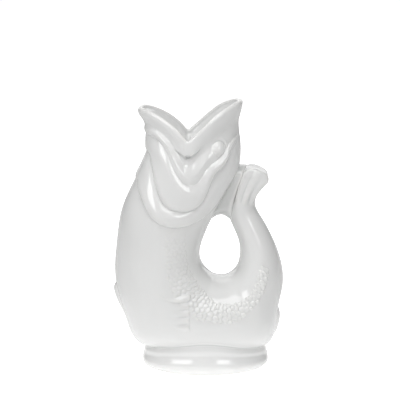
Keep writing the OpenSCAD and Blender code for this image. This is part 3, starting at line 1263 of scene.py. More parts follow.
@dataclass
class SideFin:
    """Side fin: a low fan with a rolled upper edge and ribs that end in a step towards the tail."""

    outline: Points = (
        (-11.4, 39.5), (-11.2, 50), (-11.0, 62), (-11.2, 73.5), (-15.0, 75.5), (-21, 74.6), (-29, 74.2),
        (-36, 76.5), (-42.5, 78.5), (-49, 74.0), (-54.0, 66.5), (-50.5, 58), (-43.8, 49.8), (-35, 42.4),
        (-27.5, 39.8), (-19, 38.8))
    rib_heights: tuple[float, ...] = (64.2, 58.2, 51.8, 45.6)
    rib_rise: float = 1.1
    rib_slant: float = 0.06
    rib_spread: float = 2.0
    roll: Points = (
        (-44, 76.8), (-38, 73.6), (-31, 71.2), (-24, 70.6), (-17, 71.0), (-10.0, 73.0))
    step: float = 0.55

    def ribs(self, x: Array, z: Array) -> Array:
        """Share of the ribs' rise at side-view places.

        Args:
            x: Places along the fish.
            z: Heights.

        Returns:
            Nought between the ribs and one on them.
        """
        total = 0
        for middle in self.rib_heights:
            off = z - middle - self.rib_slant * (x + 12)
            total = total + np.clip(np.cos(off / self.rib_spread), 0, 1) ** 1.5 * (np.abs(off) < math.pi)
        return total

    def height(self, p: Array) -> Array:
        """Height of the fin over the belly.

        Args:
            p: Side-view (x, z) places along the last axis.

        Returns:
            Heights in millimetres, less than nought outside the fin.
        """
        inside = edge_distance(p, np.array(self.outline))
        x, z = p[..., 0], p[..., 1]
        # The blade rises from the root, which is towards the throat, to the step at its end
        out = np.clip((x + 54) / 42, 0, 1)
        blade = 0.15 + 0.4 * out**1.8
        ribs = self.rib_rise * self.ribs(x, z)
        blade = blade + ribs * smooth_step((x + 31) / 14) * (1 - smooth_step((x + 15.5) / 4.5))
        # The rolled upper edge grows wider and higher towards the end
        gap = np.linalg.norm(p[..., None, :] - dense(self.roll, 10), axis=-1).min(axis=-1)
        width = 1.6 + 2.0 * np.clip((x + 44) / 22, 0, 1)
        roll = 0.9 + 1.3 * np.clip((x + 44) / 18, 0, 1)
        blade = blade + roll * np.sqrt(np.clip(1 - (gap / width) ** 2, 0, 1))
        soft = 3.6 + 6.4 * smooth_step((-15.0 - x) / 14.0)
        return (blade + 0.5) * smooth_step((inside + 0.25) / soft) - 0.5

    def build(self, side: Side, material: bpy.types.Material) -> bpy.types.Object:
        """Make the piece on one side.

        Args:
            side: The side.
            material: Its material.

        Returns:
            The piece.
        """
        x = np.concatenate([np.arange(-56, -14, self.step), np.linspace(-14, -10.2, 20)])
        z = np.arange(37.6, 80.6, 0.5)
        p = np.stack(np.meshgrid(x, z, indexing="xy"), axis=-1)
        t, a = FISH.locate(p, 6.3, 11.5)
        normal = FISH.normal(t, a)
        plain = FISH.point(t, a)
        bm = closed_patch(plain + normal * self.height(p)[..., None], plain - normal * BURIED, side)
        shake(bm)
        tag = side.name.lower()
        return settle(finish_mesh(bm, f"side_fin_{tag}_fan"), [f"side_fin_{tag}"], material)


@dataclass
class Keel:
    """Small fin on the middle of the fish, on its outer side."""

    name: str
    node: str
    first: float
    last: float
    crest: float
    rise: float
    half_width: float
    rows: int = 60
    columns: int = 24

    def build(self, material: bpy.types.Material) -> bpy.types.Object:
        """Make the piece, a ridge that is shaped like a leaf from the front.

        Args:
            material: Its material.

        Returns:
            The piece.
        """
        t = np.linspace(self.first, self.last, self.rows)
        _, _, width = FISH.section(t)
        share = np.linspace(0, 1, self.columns)
        up = np.where(t < self.crest, (t - self.first) / (self.crest - self.first),
                      (self.last - t) / (self.last - self.crest))
        body = np.sin(np.clip(up, 0, 1) * math.pi / 2) ** np.where(t < self.crest, 0.8, 1.3)
        spread = self.half_width * (0.2 + 0.8 * np.sqrt(body))
        a = math.pi - share[None, :] * np.arcsin(np.clip(spread / width, 0, 1))[:, None]
        stations = np.broadcast_to(t[:, None], a.shape)
        h = self.rise * body[:, None] * np.clip(1 - share[None, :] ** 1.7, 0, 1) ** 1.6
        h = np.where((share[None, :] >= 1) | (up[:, None] <= 0), -0.5, h)
        normal = FISH.normal(stations, a)
        plain = FISH.point(stations, a)
        bm = sheet(plain + normal * h[..., None])
        add_sheet(bm, plain - normal * BURIED)
        mirror_side(bm)
        bridge_near(bm)
        shake(bm)
        return settle(finish_mesh(bm, self.name), [self.node], material)


# Tail


@dataclass
class TailFin:
    """Spread end of the tail: fluted sides, a rounded top and a notch across it."""

    first: float = 16.0
    top: float = 18.0
    notch: float = 1.2
    notch_half_width: float = 15.0
    # Height of the rays, the turn in degrees at which one stands, and the turn from one to the next
    flute: float = 1.7
    ray_turn: float = 57.0
    ray_pitch: float = 40.0
    # Rounded top: height, direction, share of the fin's width that its ridge keeps, and power of its curve
    crown: float = 9.0
    crown_up: tuple[float, float, float] = (0.42, 0.0, 0.91)
    ridge: float = 0.72
    crown_power: float = 0.66
    crown_rows: int = 35
    # How far the outer side flares, share by which the fin grows slimmer, and power of its square section
    flare: float = 5.0
    slim: float = 0.38
    squareness: float = 3.4
    rows: int = 64
    columns: int = 181

    def flutes(self, t: Array, a: Array) -> Array:
        """Height of the ridges along the fin's rays.

        Args:
            t: Stations.
            a: Turns.

        Returns:
            Heights in millimetres, less than nought in the valleys.
        """
        d = np.degrees(a)
        ridge = np.cos((d - self.ray_turn) / self.ray_pitch * math.pi) ** 2
        at_sides = smooth_step((d - 30) / 14) * (1 - smooth_step((d - 146) / 16))
        run = smooth_step((t - 15.95) / 0.5)
        return self.flute * (ridge - 0.5) * at_sides * run

    def side(self, t: Array, a: Array) -> Array:
        """Points on the fin's side, whose sections grow squarer and slimmer towards the top.

        Args:
            t: Stations.
            a: Turns.

        Returns:
            (x, y, z) in millimetres along the last axis.
        """
        outer, inner, width = FISH.section(t)
        both = outer + inner
        middle = np.stack([both[..., 0] / 2, np.zeros_like(width), both[..., 1] / 2], axis=-1)
        c, d = np.abs(np.cos(a)), np.abs(np.sin(a))
        square = (c**self.squareness + d**self.squareness) ** (-1 / self.squareness)
        amount = smooth_step((t - self.first) / 1.2)
        p = FISH.point(t, a) + FISH.normal(t, a) * self.flutes(t, a)[..., None]
        p = middle + (p - middle) * (1 + (square - 1) * amount)[..., None]
        p[..., 0] += self.flare * smooth_step((t - 16.2) / 1.6) * np.clip(-np.cos(a), 0, 1)
        p[..., 1] *= 1 - self.slim * smooth_step((t - self.first - 0.2) / 1.8)
        return p

    def build(self, material: bpy.types.Material) -> bpy.types.Object:
        """Make the piece.

        Args:
            material: Its material.

        Returns:
            The piece.
        """
        a = turn_points(self.columns)
        top = np.full_like(a, self.top)
        off = FISH.point(top, a)[:, 1] / self.notch_half_width
        cut = self.notch * np.sqrt(np.clip(1 - off**2, 0, 1)) ** 1.5
        along, _ = FISH.slopes(top, a)
        rate = np.linalg.norm(along, axis=-1)
        end = self.top - (blurred(cut, 4) + self.crown) / rate
        share = np.linspace(0, 1, self.rows)[:, None]
        t = self.first + (end[None, :] - self.first) * share
        rows = list(self.side(t, np.broadcast_to(a, t.shape)))
        # Above the last ring the rows close in on a ridge that runs across the fin
        ring = rows[-1]
        up = np.array(self.crown_up)
        middle = (ring + ring[::-1]) / 2 * np.array([1.0, self.ridge, 1.0])
        for q in np.linspace(0, QUARTER, self.crown_rows + 1)[1:]:
            close = max(math.cos(q), 0) ** self.crown_power
            rows.append(middle + (ring - middle) * close + up * self.crown * math.sin(q))
        bm = sheet(np.array(rows))
        mirror_side(bm)
        bridge_near(bm)
        shake(bm)
        return settle(finish_mesh(bm, "tail_end", merge=2 * WELD), ["tail_fin"], material)


@dataclass
class Web:
    """Web of clay in the gap between the tail and the back of the head."""

    low: float = 136.0
    high: float = 180.5
    # Stations of the back of the head and of the tail's inner side, between which the web lies
    head_stations: tuple[float, float] = (2.5, 6.5)
    tail_stations: tuple[float, float] = (13.6, 17.9)
    # Half widths at the bottom and at the top
    head_widths: tuple[float, float] = (10.0, 16.0)
    tail_widths: tuple[float, float] = (15.5, 15.5)
    # How far it goes into both neighbours, how far its lower edge sags towards them, and its rounding
    sunk: float = 4.0
    arch: float = 9.0
    rounding: float = 9.0
    rows: int = 60
    spokes: int = 44

    def build(self, material: bpy.types.Material) -> bpy.types.Object:
        """Make the piece.

        Args:
            material: Its material.

        Returns:
            The piece.
        """
        count = 400
        back = FISH.point(np.linspace(*self.head_stations, count), np.zeros(count))
        tail = FISH.point(np.linspace(*self.tail_stations, count), np.zeros(count))
        order = np.argsort(back[:, 2])
        turn = np.linspace(0, math.pi, self.spokes + 1)
        share = (1 - np.sign(np.cos(turn)) * np.abs(np.cos(turn)) ** 0.5) / 2
        up = (1 - np.cos(np.linspace(0, math.pi, self.rows))) / 2
        level = self.low + (self.high - self.low) * up
        close = np.clip(np.minimum(level - self.low, self.high - level) / self.rounding, 0, 1)
        body = np.sqrt(np.clip(1 - (1 - close) ** 2, 0, 1))
        z = level[:, None] - self.arch * (1 - up)[:, None] ** 3 * (2 * share - 1)[None, :] ** 2
        left = np.interp(z, back[order, 2], back[order, 0]) - self.sunk
        right = np.interp(z, tail[:, 2], tail[:, 0]) + self.sunk
        head_side = np.interp(z, [self.low, self.high], self.head_widths)
        tail_side = np.interp(z, [self.low, self.high], self.tail_widths)
        width = (head_side + (tail_side - head_side) * share) * body[:, None]
        x = left + (right - left) * share
        y = -width * np.abs(np.sin(turn)) ** 0.6
        y[:, 0] = y[:, -1] = 0.0
        y[0] = y[-1] = 0.0
        bm = sheet(np.stack([x, y, z], axis=-1))
        mirror_side(bm)
        bridge_near(bm)
        return settle(finish_mesh(bm, "web"), ["tail_web"], material)


# Scales


def scatter(i: Array, j: Array, first: float, second: float, size: float) -> Array:
    """Fixed numbers without a visible order, one for each cell of a grid.

    Args:
        i: Rows of the cells.
        j: Columns of the cells.
        first: Radians for each row.
        second: Radians for each column.
        size: How far the sine is stretched before its whole part is dropped.

    Returns:
        Numbers from nought to one.
    """
    value = np.sin(i * first + j * second) * size
    return value - np.floor(value)


@dataclass
class ScaleField:
    """Overlapping scales on the flank, from the gill collar under the loop to the root of the tail."""

    inner: Points = (
        (-12.0, 134.0), (-14.0, 126), (-14.2, 112), (-13.0, 97), (-8.4, 87), (-3, 78.5), (4, 71.5),
        (10, 67.5), (17, 65.6), (25, 65.8), (33, 68.6), (39, 74), (43.0, 81), (46, 91), (47.0, 100),
        (47, 106))
    outer: Points = (
        (-38.5, 134.0), (-37.2, 127), (-36.8, 112), (-36.2, 97), (-34, 82), (-27, 68), (-17, 57),
        (-7, 50.6), (8, 47.6), (21, 46.6), (32, 49.6), (41, 57), (49.6, 66.5), (55.5, 79), (58.6, 96),
        (58.6, 106))
    # Stations, and the height of the scales in millimetres at each
    strengths: Points = (
        (4.9, 0.3), (5.4, 0.7), (6.4, 0.9), (7.4, 1.1), (8.2, 1.4), (9.2, 1.6), (12.0, 1.6), (13.3, 1.4))
    first: float = 4.9
    last: float = 13.32
    # Width of a scale in millimetres, and in such widths the step to the next row, the reach and the jitter
    pitch: float = 4.9
    row_step: float = 0.78
    scale_reach: float = 0.66
    jitter: float = 0.3
    depth: float = 1.5
    rows: int = 470
    columns: int = 76

    def line(self, points: Points, t: Array) -> Array:
        """Turn of a border at each station.

        Args:
            points: Side-view points of the border.
            t: Stations.

        Returns:
            The turns.
        """
        found_t, found_a = FISH.locate(dense(points, 12), 4.5, 13.9)
        order = np.argsort(found_t)
        return blurred(np.interp(t, found_t[order], found_a[order]), 6)

    def relief(self, u: Array, v: Array) -> Array:
        """Height of the scales at places counted in widths of a scale.

        Args:
            u: Places along the fish.
            v: Places across it.

        Returns:
            Heights of about nought to one.
        """
        best = np.zeros_like(u)
        # Each place takes the highest of the scales round it, so that they overlap
        for row_off in range(-2, 2):
            i = np.floor(u / self.row_step) + row_off
            shift = 0.5 * np.mod(i, 2)
            for column_off in (-1, 0, 1):
                j = np.floor(v - shift + 0.5) + column_off
                seed = scatter(i, j, 12.9898, 78.233, 43758.5453)
                other = scatter(i, j, 39.346, 11.135, 24634.6345)
                off_u = u - (i * self.row_step + self.jitter * (seed - 0.5))
                off_v = v - (j + shift + self.jitter * (other - 0.5))
                gap = np.sqrt(np.maximum(off_u, 0) ** 2 * 1.25 + np.minimum(off_u, 0) ** 2 + off_v**2 * 1.08)
                r = gap / self.scale_reach
                # The scale tilts up towards its free end
                tilt = 0.56 + 0.5 * (off_u / self.scale_reach) + 0.16 * (other - 0.5)
                h = (tilt + 0.2 * seed) * np.clip(1 - np.clip(r, 0, 1) ** 3, 0, 1) ** 0.75
                best = np.maximum(best, np.where(r < 1, h, 0))
        return best

    def build(self, side: Side, material: bpy.types.Material) -> bpy.types.Object:
        """Make the piece on one side.

        Args:
            side: The side.
            material: Its material.

        Returns:
            The piece.
        """
        fine = np.linspace(self.first, self.last, 3000)
        inner, outer = self.line(self.inner, fine), self.line(self.outer, fine)
        middle = (inner + outer) / 2
        path = FISH.point(fine, middle)
        run = np.concatenate([[0], np.cumsum(np.linalg.norm(np.diff(path, axis=0), axis=1))])
        t = np.interp(np.linspace(0, run[-1], self.rows), run, fine)
        length = np.interp(t, fine, run)
        low, high = np.interp(t, fine, inner), np.interp(t, fine, outer)
        share = np.linspace(0, 1, self.columns)
        a = low[:, None] + (high - low)[:, None] * share[None, :]
        stations = np.broadcast_to(t[:, None], a.shape)
        plain = FISH.point(stations, a)
        widths = np.linalg.norm(np.diff(plain, axis=1), axis=2)
        across = np.concatenate([np.zeros((self.rows, 1)), np.cumsum(widths, axis=1)], axis=1)
        across = across - across[:, self.columns // 2][:, None]
        u = np.broadcast_to((length / self.pitch)[:, None], a.shape)
        scales = self.relief(u, across / self.pitch)
        strength = np.interp(t, *np.array(self.strengths).T)
        # Along the field's edges only the tops of the scales come through the skin
        border = np.minimum(across - across[:, :1], across[:, -1:] - across)
        ends = np.minimum(border, np.minimum(length[:, None], (run[-1] - length)[:, None] * 3.0))
        mask = smooth_step((ends - 0.6 + 3.0 * (scales - 0.5)) / 4.0)
        level = np.interp(t, [7.0, 9.0], [-0.3, 0.0])[:, None]
        h = (level + scales * strength[:, None]) * mask - 0.45 * (1 - mask)
        normal = FISH.normal(stations, a)
        bm = closed_patch(plain + normal * h[..., None], plain - normal * self.depth, side)
        shake(bm)
        return settle(finish_mesh(bm, f"scales_{side.name.lower()}"), [], material)


# Foot


@dataclass
class Foot:
    """Oval foot: a swelling wall on a flat rim, with a floor inside and a shallow hollow underneath."""

    # Out from the neck the rim's outer edge lies at swell less edge, and the rim is rim wide
    swell: float = 2.3
    edge: float = 4.0
    rim: float = 5.0
    # Depth of the hollow under the floor, and reach of the fillet on the belly
    recess: float = 2.0
    fillet: float = 2.2
    # How fast the wall changes from its form at the oval's ends to the one at its sides
    blend: float = 2.2
    # How far in from the neck the flat rings of the floor lie
    floor_rings: tuple[float, float] = (40.0, 25.0)
    columns: int = 181
    # Share of the height and distance out from the neck, at the ends and at the sides of the oval
    end_wall: Points = (
        (0.0, -1.5), (0.03, -0.5), (0.09, 0.6), (0.18, 1.4), (0.3, 1.95), (0.44, 2.2), (0.58, 2.0),
        (0.72, 1.35), (0.86, 0.6), (0.95, 0.25), (1.0, 0.1))
    side_wall: Points = (
        (0.0, -0.9), (0.025, 0.5), (0.07, 1.8), (0.14, 3.4), (0.22, 4.8), (0.3, 5.35), (0.36, 5.25),
        (0.42, 4.7), (0.48, 3.8), (0.54, 2.85), (0.6, 2.15), (0.66, 1.85), (0.72, 1.85), (0.78, 1.85),
        (0.84, 1.55), (0.89, 1.05), (0.945, 0.6), (1.0, 0.5))

    def under(self) -> list[Ring]:
        """Rings under the floor and over the rounded inner edge of the rim.

        Returns:
            A distance out from the neck and a height for each ring.
        """
        inner = self.swell - self.edge - self.rim
        flat = [(-out, self.recess) for out in self.floor_rings]
        flat.append((inner - self.recess - 2, self.recess))
        return flat + [(inner - self.recess * math.cos(q), self.recess * (1 - math.sin(q)))
                       for q in np.linspace(0, QUARTER, 7)]

    def outside(self, b: Array, top: Array) -> list[Ring]:
        """Rings up the outside and over the fillet that meets the belly.

        Args:
            b: Turns round the foot.
            top: Height at which the neck meets the belly at each of them.

        Returns:
            Distances out from the neck and heights for each ring.
        """
        share = 1 - (1 - np.abs(np.sin(b))) ** self.blend
        end_v, end_out = dense(self.end_wall, 6).T
        side_v, side_out = dense(self.side_wall, 6).T
        heights = np.concatenate([np.linspace(0, 0.12, 12)[:-1], np.linspace(0.12, 0.88, 40)[:-1],
                                  np.linspace(0.88, 1, 12)])
        wall = [(np.interp(v, end_v, end_out) * (1 - share) + np.interp(v, side_v, side_out) * share, top * v)
                for v in heights]
        neck = self.end_wall[-1][1] * (1 - share) + self.side_wall[-1][1] * share
        climb = FISH.neck_top(b, self.fillet) - top
        for q in np.linspace(0, 1, 9)[1:]:
            up = climb * (0.5 * q + 0.5 * q**2)
            wall.append((neck + (self.fillet - neck) * q**2, top + up - 0.15 * q))
        return wall

    def inside(self, top: Array) -> list[Ring]:
        """Rings down the inside, from the neck to the floor.

        Args:
            top: Height at which the neck meets the belly.

        Returns:
            A distance out from the neck and a height for each ring.
        """
        floor = self.recess + FISH.wall
        wall = [(-3.4, top + 3.2), (-FISH.wall, top + 0.8), (-FISH.wall, floor + FISH.wall)]
        curve = [(-FISH.wall * (2 - math.cos(q)), floor + FISH.wall * (1 - math.sin(q)))
                 for q in np.linspace(0, QUARTER, 6)[1:]]
        return wall + curve + [(-out, floor) for out in reversed(self.floor_rings)]

    def build(self, material: bpy.types.Material) -> bpy.types.Object:
        """Make the piece.

        Args:
            material: Its material.

        Returns:
            The piece.
        """
        b = np.linspace(0, TAU, self.columns)
        top = FISH.neck_top(b)
        rings = []
        for out, z in self.under() + self.outside(b, top) + self.inside(top):
            out, z = np.broadcast_to(out, b.shape), np.broadcast_to(z, b.shape)
            rings.append(np.stack([FISH.neck_x + (FISH.neck_half_length + out) * np.cos(b),
                                   (FISH.neck_half_width + out) * np.sin(b), z], axis=-1))
        bm = sheet(np.array(rings))
        bmesh.ops.remove_doubles(bm, verts=bm.verts[:], dist=WELD)
        bridge_near(bm)
        shake(bm)
        return settle(finish_mesh(bm, "foot_ring"), ["foot"], material)


# Finishes


def new_node(tree: bpy.types.NodeTree, kind: str, **values: object) -> bpy.types.Node:
    """Add a node and set its properties and, by name, its sockets.

    Args:
        tree: Tree that it goes in.
        kind: Node type, without the leading ShaderNode.
        values: Properties, or sockets with underscores for spaces.

    Returns:
        The node.
    """
    node = tree.nodes.new("ShaderNode" + kind)
    for key, value in values.items():
        if hasattr(node, key):
            setattr(node, key, value)
        else:
            node.inputs[key.replace("_", " ")].default_value = value
    return node


def new_group(name: str, inputs: dict[str, tuple[str, float]], outputs: list[str]) -> tuple[
        bpy.types.NodeTree, bpy.types.Node, bpy.types.Node]:
    """Start a node group of the shared effects.

    Args:
        name: Name of the group.
        inputs: Kind of socket and starting value of each input.
        outputs: Names of the values it puts out.

    Returns:
        The group, its input node and its output node.
    """
    group = bpy.data.node_groups.new(name, "ShaderNodeTree")
    for label, (kind, value) in inputs.items():
        socket = group.interface.new_socket(label, in_out="INPUT", socket_type=kind)
        if kind == "NodeSocketFloat":
            socket.default_value = value
    for label in outputs:
        group.interface.new_socket(label, in_out="OUTPUT", socket_type="NodeSocketFloat")
    return group, group.nodes.new("NodeGroupInput"), group.nodes.new("NodeGroupOutput")


class Effects:
    """Shader groups that the finishes share, each built once."""

    def __init__(self) -> None:
        """Build the groups."""
        self.mottle = self.build_mottle()
        self.pooling_and_shade = self.build_pooling_and_shade()
        self.bare_rim = self.build_bare_rim()

    def build_mottle(self) -> bpy.types.NodeTree:
        """Uneven thickness of the glaze: a slow tone, a fine grain and a rippled height.

        Returns:
            The group.
        """
        group, ins, outs = new_group("glaze_mottle", {
            "Vector": ("NodeSocketVector", 0.0), "Cloud": ("NodeSocketFloat", 30.0),
            "Ripple": ("NodeSocketFloat", 150.0), "Grain": ("NodeSocketFloat", 900.0)},
            ["Tone", "Fine", "Height"])
        links = group.links
        cloud = new_node(group, "TexNoise", Detail=3.0, Roughness=0.55)
        ripple = new_node(group, "TexNoise", Detail=2.0, Roughness=0.5)
        grain = new_node(group, "TexNoise", Detail=2.0, Roughness=0.6)
        for noise, size in ((cloud, "Cloud"), (ripple, "Ripple"), (grain, "Grain")):
            links.new(ins.outputs["Vector"], noise.inputs["Vector"])
            links.new(ins.outputs[size], noise.inputs["Scale"])
        # The grain adds a little to the ripple's height
        fine = new_node(group, "Math", operation="MULTIPLY")
        fine.inputs[1].default_value = 0.08
        links.new(grain.outputs[0], fine.inputs[0])
        total = new_node(group, "Math", operation="ADD")
        links.new(ripple.outputs[0], total.inputs[0])
        links.new(fine.outputs[0], total.inputs[1])
        links.new(cloud.outputs[0], outs.inputs["Tone"])
        links.new(grain.outputs[0], outs.inputs["Fine"])
        links.new(total.outputs[0], outs.inputs["Height"])
        return group

    def build_pooling_and_shade(self) -> bpy.types.NodeTree:
        """Masks of the hollows, with pooled glaze and painted shade, and of the edges, where glaze runs thin.

        Returns:
            The group.
        """
        group, ins, outs = new_group("glaze_pooling_and_shade", {"Tone": ("NodeSocketFloat", 0.5)}, ["Hollow", "Edge"])
        links = group.links
        # The slow tone moves both borders a little, so that they aren't even
        bend = new_node(group, "Attribute", attribute_name="bend")
        swing = new_node(group, "Math", operation="MULTIPLY_ADD")
        swing.inputs[1].default_value = 0.12
        links.new(ins.outputs["Tone"], swing.inputs[0])
        links.new(bend.outputs["Fac"], swing.inputs[2])
        # The hollow mask stands for pooled glaze and for painted shade in the creases; the edge mask for thin
        # glaze
        for label, low, high in (("Hollow", 0.62, 0.92), ("Edge", 0.5, 0.22)):
            mask = new_node(group, "MapRange", interpolation_type="SMOOTHSTEP", From_Min=low, From_Max=high)
            links.new(swing.outputs[0], mask.inputs["Value"])
            links.new(mask.outputs["Result"], outs.inputs[label])
        return group

    def build_bare_rim(self) -> bpy.types.NodeTree:
        """Mask of the rim that was wiped clean of glaze before firing.

        Returns:
            The group.
        """
        group, ins, outs = new_group("bare_rim", {
            "Vector": ("NodeSocketVector", 0.0), "Tone": ("NodeSocketFloat", 0.5),
            "Height": ("NodeSocketFloat", 0.0006)}, ["Bare"])
        links = group.links
        # In metres: the tone shifts the border, and the glaze begins over the next fifth of a millimetre
        split = new_node(group, "SeparateXYZ")
        links.new(ins.outputs["Vector"], split.inputs[0])
        uneven = new_node(group, "Math", operation="MULTIPLY_ADD")
        uneven.inputs[1].default_value = 0.0006
        links.new(ins.outputs["Tone"], uneven.inputs[0])
        links.new(split.outputs["Z"], uneven.inputs[2])
        top = new_node(group, "Math", operation="ADD")
        top.inputs[1].default_value = 0.0002
        links.new(ins.outputs["Height"], top.inputs[0])
        mask = new_node(group, "MapRange", interpolation_type="SMOOTHSTEP", To_Min=1.0, To_Max=0.0)
        links.new(uneven.outputs[0], mask.inputs["Value"])
        links.new(ins.outputs["Height"], mask.inputs["From Min"])
        links.new(top.outputs[0], mask.inputs["From Max"])
        links.new(mask.outputs["Result"], outs.inputs["Bare"])
        return group


@dataclass(frozen=True)
class Glaze:
    """Clear glossy glaze over white earthenware."""

    name: str
    color: tuple[float, float, float] = (0.88, 0.88, 0.87)
    deep: tuple[float, float, float] = (0.845, 0.85, 0.845)
    # Colour in the hollows: glaze pooled there, and painted shade of the creases
    hollow: tuple[float, float, float] = (0.73, 0.74, 0.73)
    thin: tuple[float, float, float] = (0.895, 0.89, 0.875)
    # Least roughness, and how much the grain adds to it
    gloss: float = 0.05
    dullness: float = 0.07
    # Height of the ripple in metres
    ripple: float = 0.00007
    coat: float = 0.35
    coat_roughness: float = 0.03
    refraction: float = 1.55
    # Colour of the unglazed rim, where there is one, and its roughness
    bare: tuple[float, float, float] | None = None
    bare_roughness: float = 0.75

    def material(self, effects: Effects) -> bpy.types.Material:
        """Make the material.

        Args:
            effects: The shared groups.

        Returns:
            The material.
        """
        mat = bpy.data.materials.new(self.name)
        mat.use_nodes = True
        tree = mat.node_tree
        links = tree.links
        shader = tree.nodes["Principled BSDF"]
        shader.inputs["IOR"].default_value = self.refraction
        shader.inputs["Coat Weight"].default_value = self.coat
        shader.inputs["Coat Roughness"].default_value = self.coat_roughness
        place = new_node(tree, "TexCoord")
        mottle = new_node(tree, "Group", node_tree=effects.mottle)
        pooling_and_shade = new_node(tree, "Group", node_tree=effects.pooling_and_shade)
        links.new(place.outputs["Object"], mottle.inputs["Vector"])
        links.new(mottle.outputs["Tone"], pooling_and_shade.inputs["Tone"])
        color = self.mixed(tree, mottle.outputs["Tone"], self.color, self.deep)
        color = self.mixed(tree, pooling_and_shade.outputs["Edge"], color, self.thin)
        # Hollows darker: pooled glaze and painted shade of the creases
        color = self.mixed(tree, pooling_and_shade.outputs["Hollow"], color, self.hollow)
        rough = new_node(tree, "MapRange", To_Min=self.gloss, To_Max=self.gloss + self.dullness)
        links.new(mottle.outputs["Fine"], rough.inputs["Value"])
        rough = rough.outputs["Result"]
        if self.bare is not None:
            rim = new_node(tree, "Group", node_tree=effects.bare_rim)
            links.new(place.outputs["Object"], rim.inputs["Vector"])
            links.new(mottle.outputs["Tone"], rim.inputs["Tone"])
            color = self.mixed(tree, rim.outputs["Bare"], color, self.bare)
            dry = new_node(tree, "MapRange", To_Max=self.bare_roughness)
            links.new(rim.outputs["Bare"], dry.inputs["Value"])
            links.new(rough, dry.inputs["To Min"])
            rough = dry.outputs["Result"]
        links.new(color, shader.inputs["Base Color"])
        links.new(rough, shader.inputs["Roughness"])
        bump = new_node(tree, "Bump", Strength=1.0, Distance=self.ripple)
        links.new(mottle.outputs["Height"], bump.inputs["Height"])
        links.new(bump.outputs["Normal"], shader.inputs["Normal"])
        return mat

    @staticmethod
    def mixed(tree: bpy.types.NodeTree, mask: bpy.types.NodeSocket, first: object,
              second: tuple[float, float, float]) -> bpy.types.NodeSocket:
        """Mix two colours by a mask.

        Args:
            tree: The material's tree.
            mask: Nought for the first colour, one for the second.
            first: A colour or the socket that puts one out.
            second: A colour.

        Returns:
            The socket of the mixed colour.
        """
        mix = new_node(tree, "Mix", data_type="RGBA")
        tree.links.new(mask, mix.inputs[0])
        if isinstance(first, tuple):
            mix.inputs[6].default_value = (*first, 1.0)
        else:
            tree.links.new(first, mix.inputs[6])
        mix.inputs[7].default_value = (*second, 1.0)
        return mix.outputs[2]


def mark_bends(mesh: bpy.types.Mesh, rounds: int = 5) -> None:
    """Keep on each point how hollow or how sharp the surface is there, one half where it is flat.

    Args:
        mesh: The mesh, in metres.
        rounds: How often the values are spread over their neighbours.
    """
    count = len(mesh.vertices)
    place, normal = np.empty(count * 3), np.empty(count * 3)
    ends = np.empty(len(mesh.edges) * 2, np.int64)
    mesh.vertices.foreach_get("co", place)
    mesh.vertices.foreach_get("normal", normal)
    mesh.edges.foreach_get("vertices", ends)
    place, normal = place.reshape(-1, 3) / MM, normal.reshape(-1, 3)
    start, end = ends.reshape(-1, 2).T
    sharp = np.zeros(len(mesh.edges), bool)
    if "sharp_edge" in mesh.attributes:
        mesh.attributes["sharp_edge"].data.foreach_get("value", sharp)
    corner = np.zeros(count, bool)
    corner[start[sharp]] = corner[end[sharp]] = True
    step = place[end] - place[start]
    # Square millimetres below which an edge counts as no shorter
    shortest = 0.04
    squared = np.maximum((step**2).sum(axis=1), shortest)
    links = np.maximum(np.bincount(start, minlength=count) + np.bincount(end, minlength=count), 1)

    def gathered(at_start: Array, at_end: Array) -> Array:
        """Mean at each point of what its edges bring to it."""
        return (np.bincount(start, at_start, count) + np.bincount(end, at_end, count)) / links

    bend = gathered(2 * (normal[start] * step).sum(axis=1) / squared,
                    -2 * (normal[end] * step).sum(axis=1) / squared)
    strongest = 0.8
    bend = np.where(corner, 0.0, np.clip(bend, -strongest, strongest))
    for _ in range(rounds):
        bend = 0.4 * bend + 0.6 * gathered(bend[end], bend[start])
    contrast = 1.4
    layer = mesh.attributes.new("bend", "FLOAT", "POINT")
    layer.data.foreach_set("value", np.clip(0.5 + contrast * bend, 0, 1).astype(np.float32))


# Studio


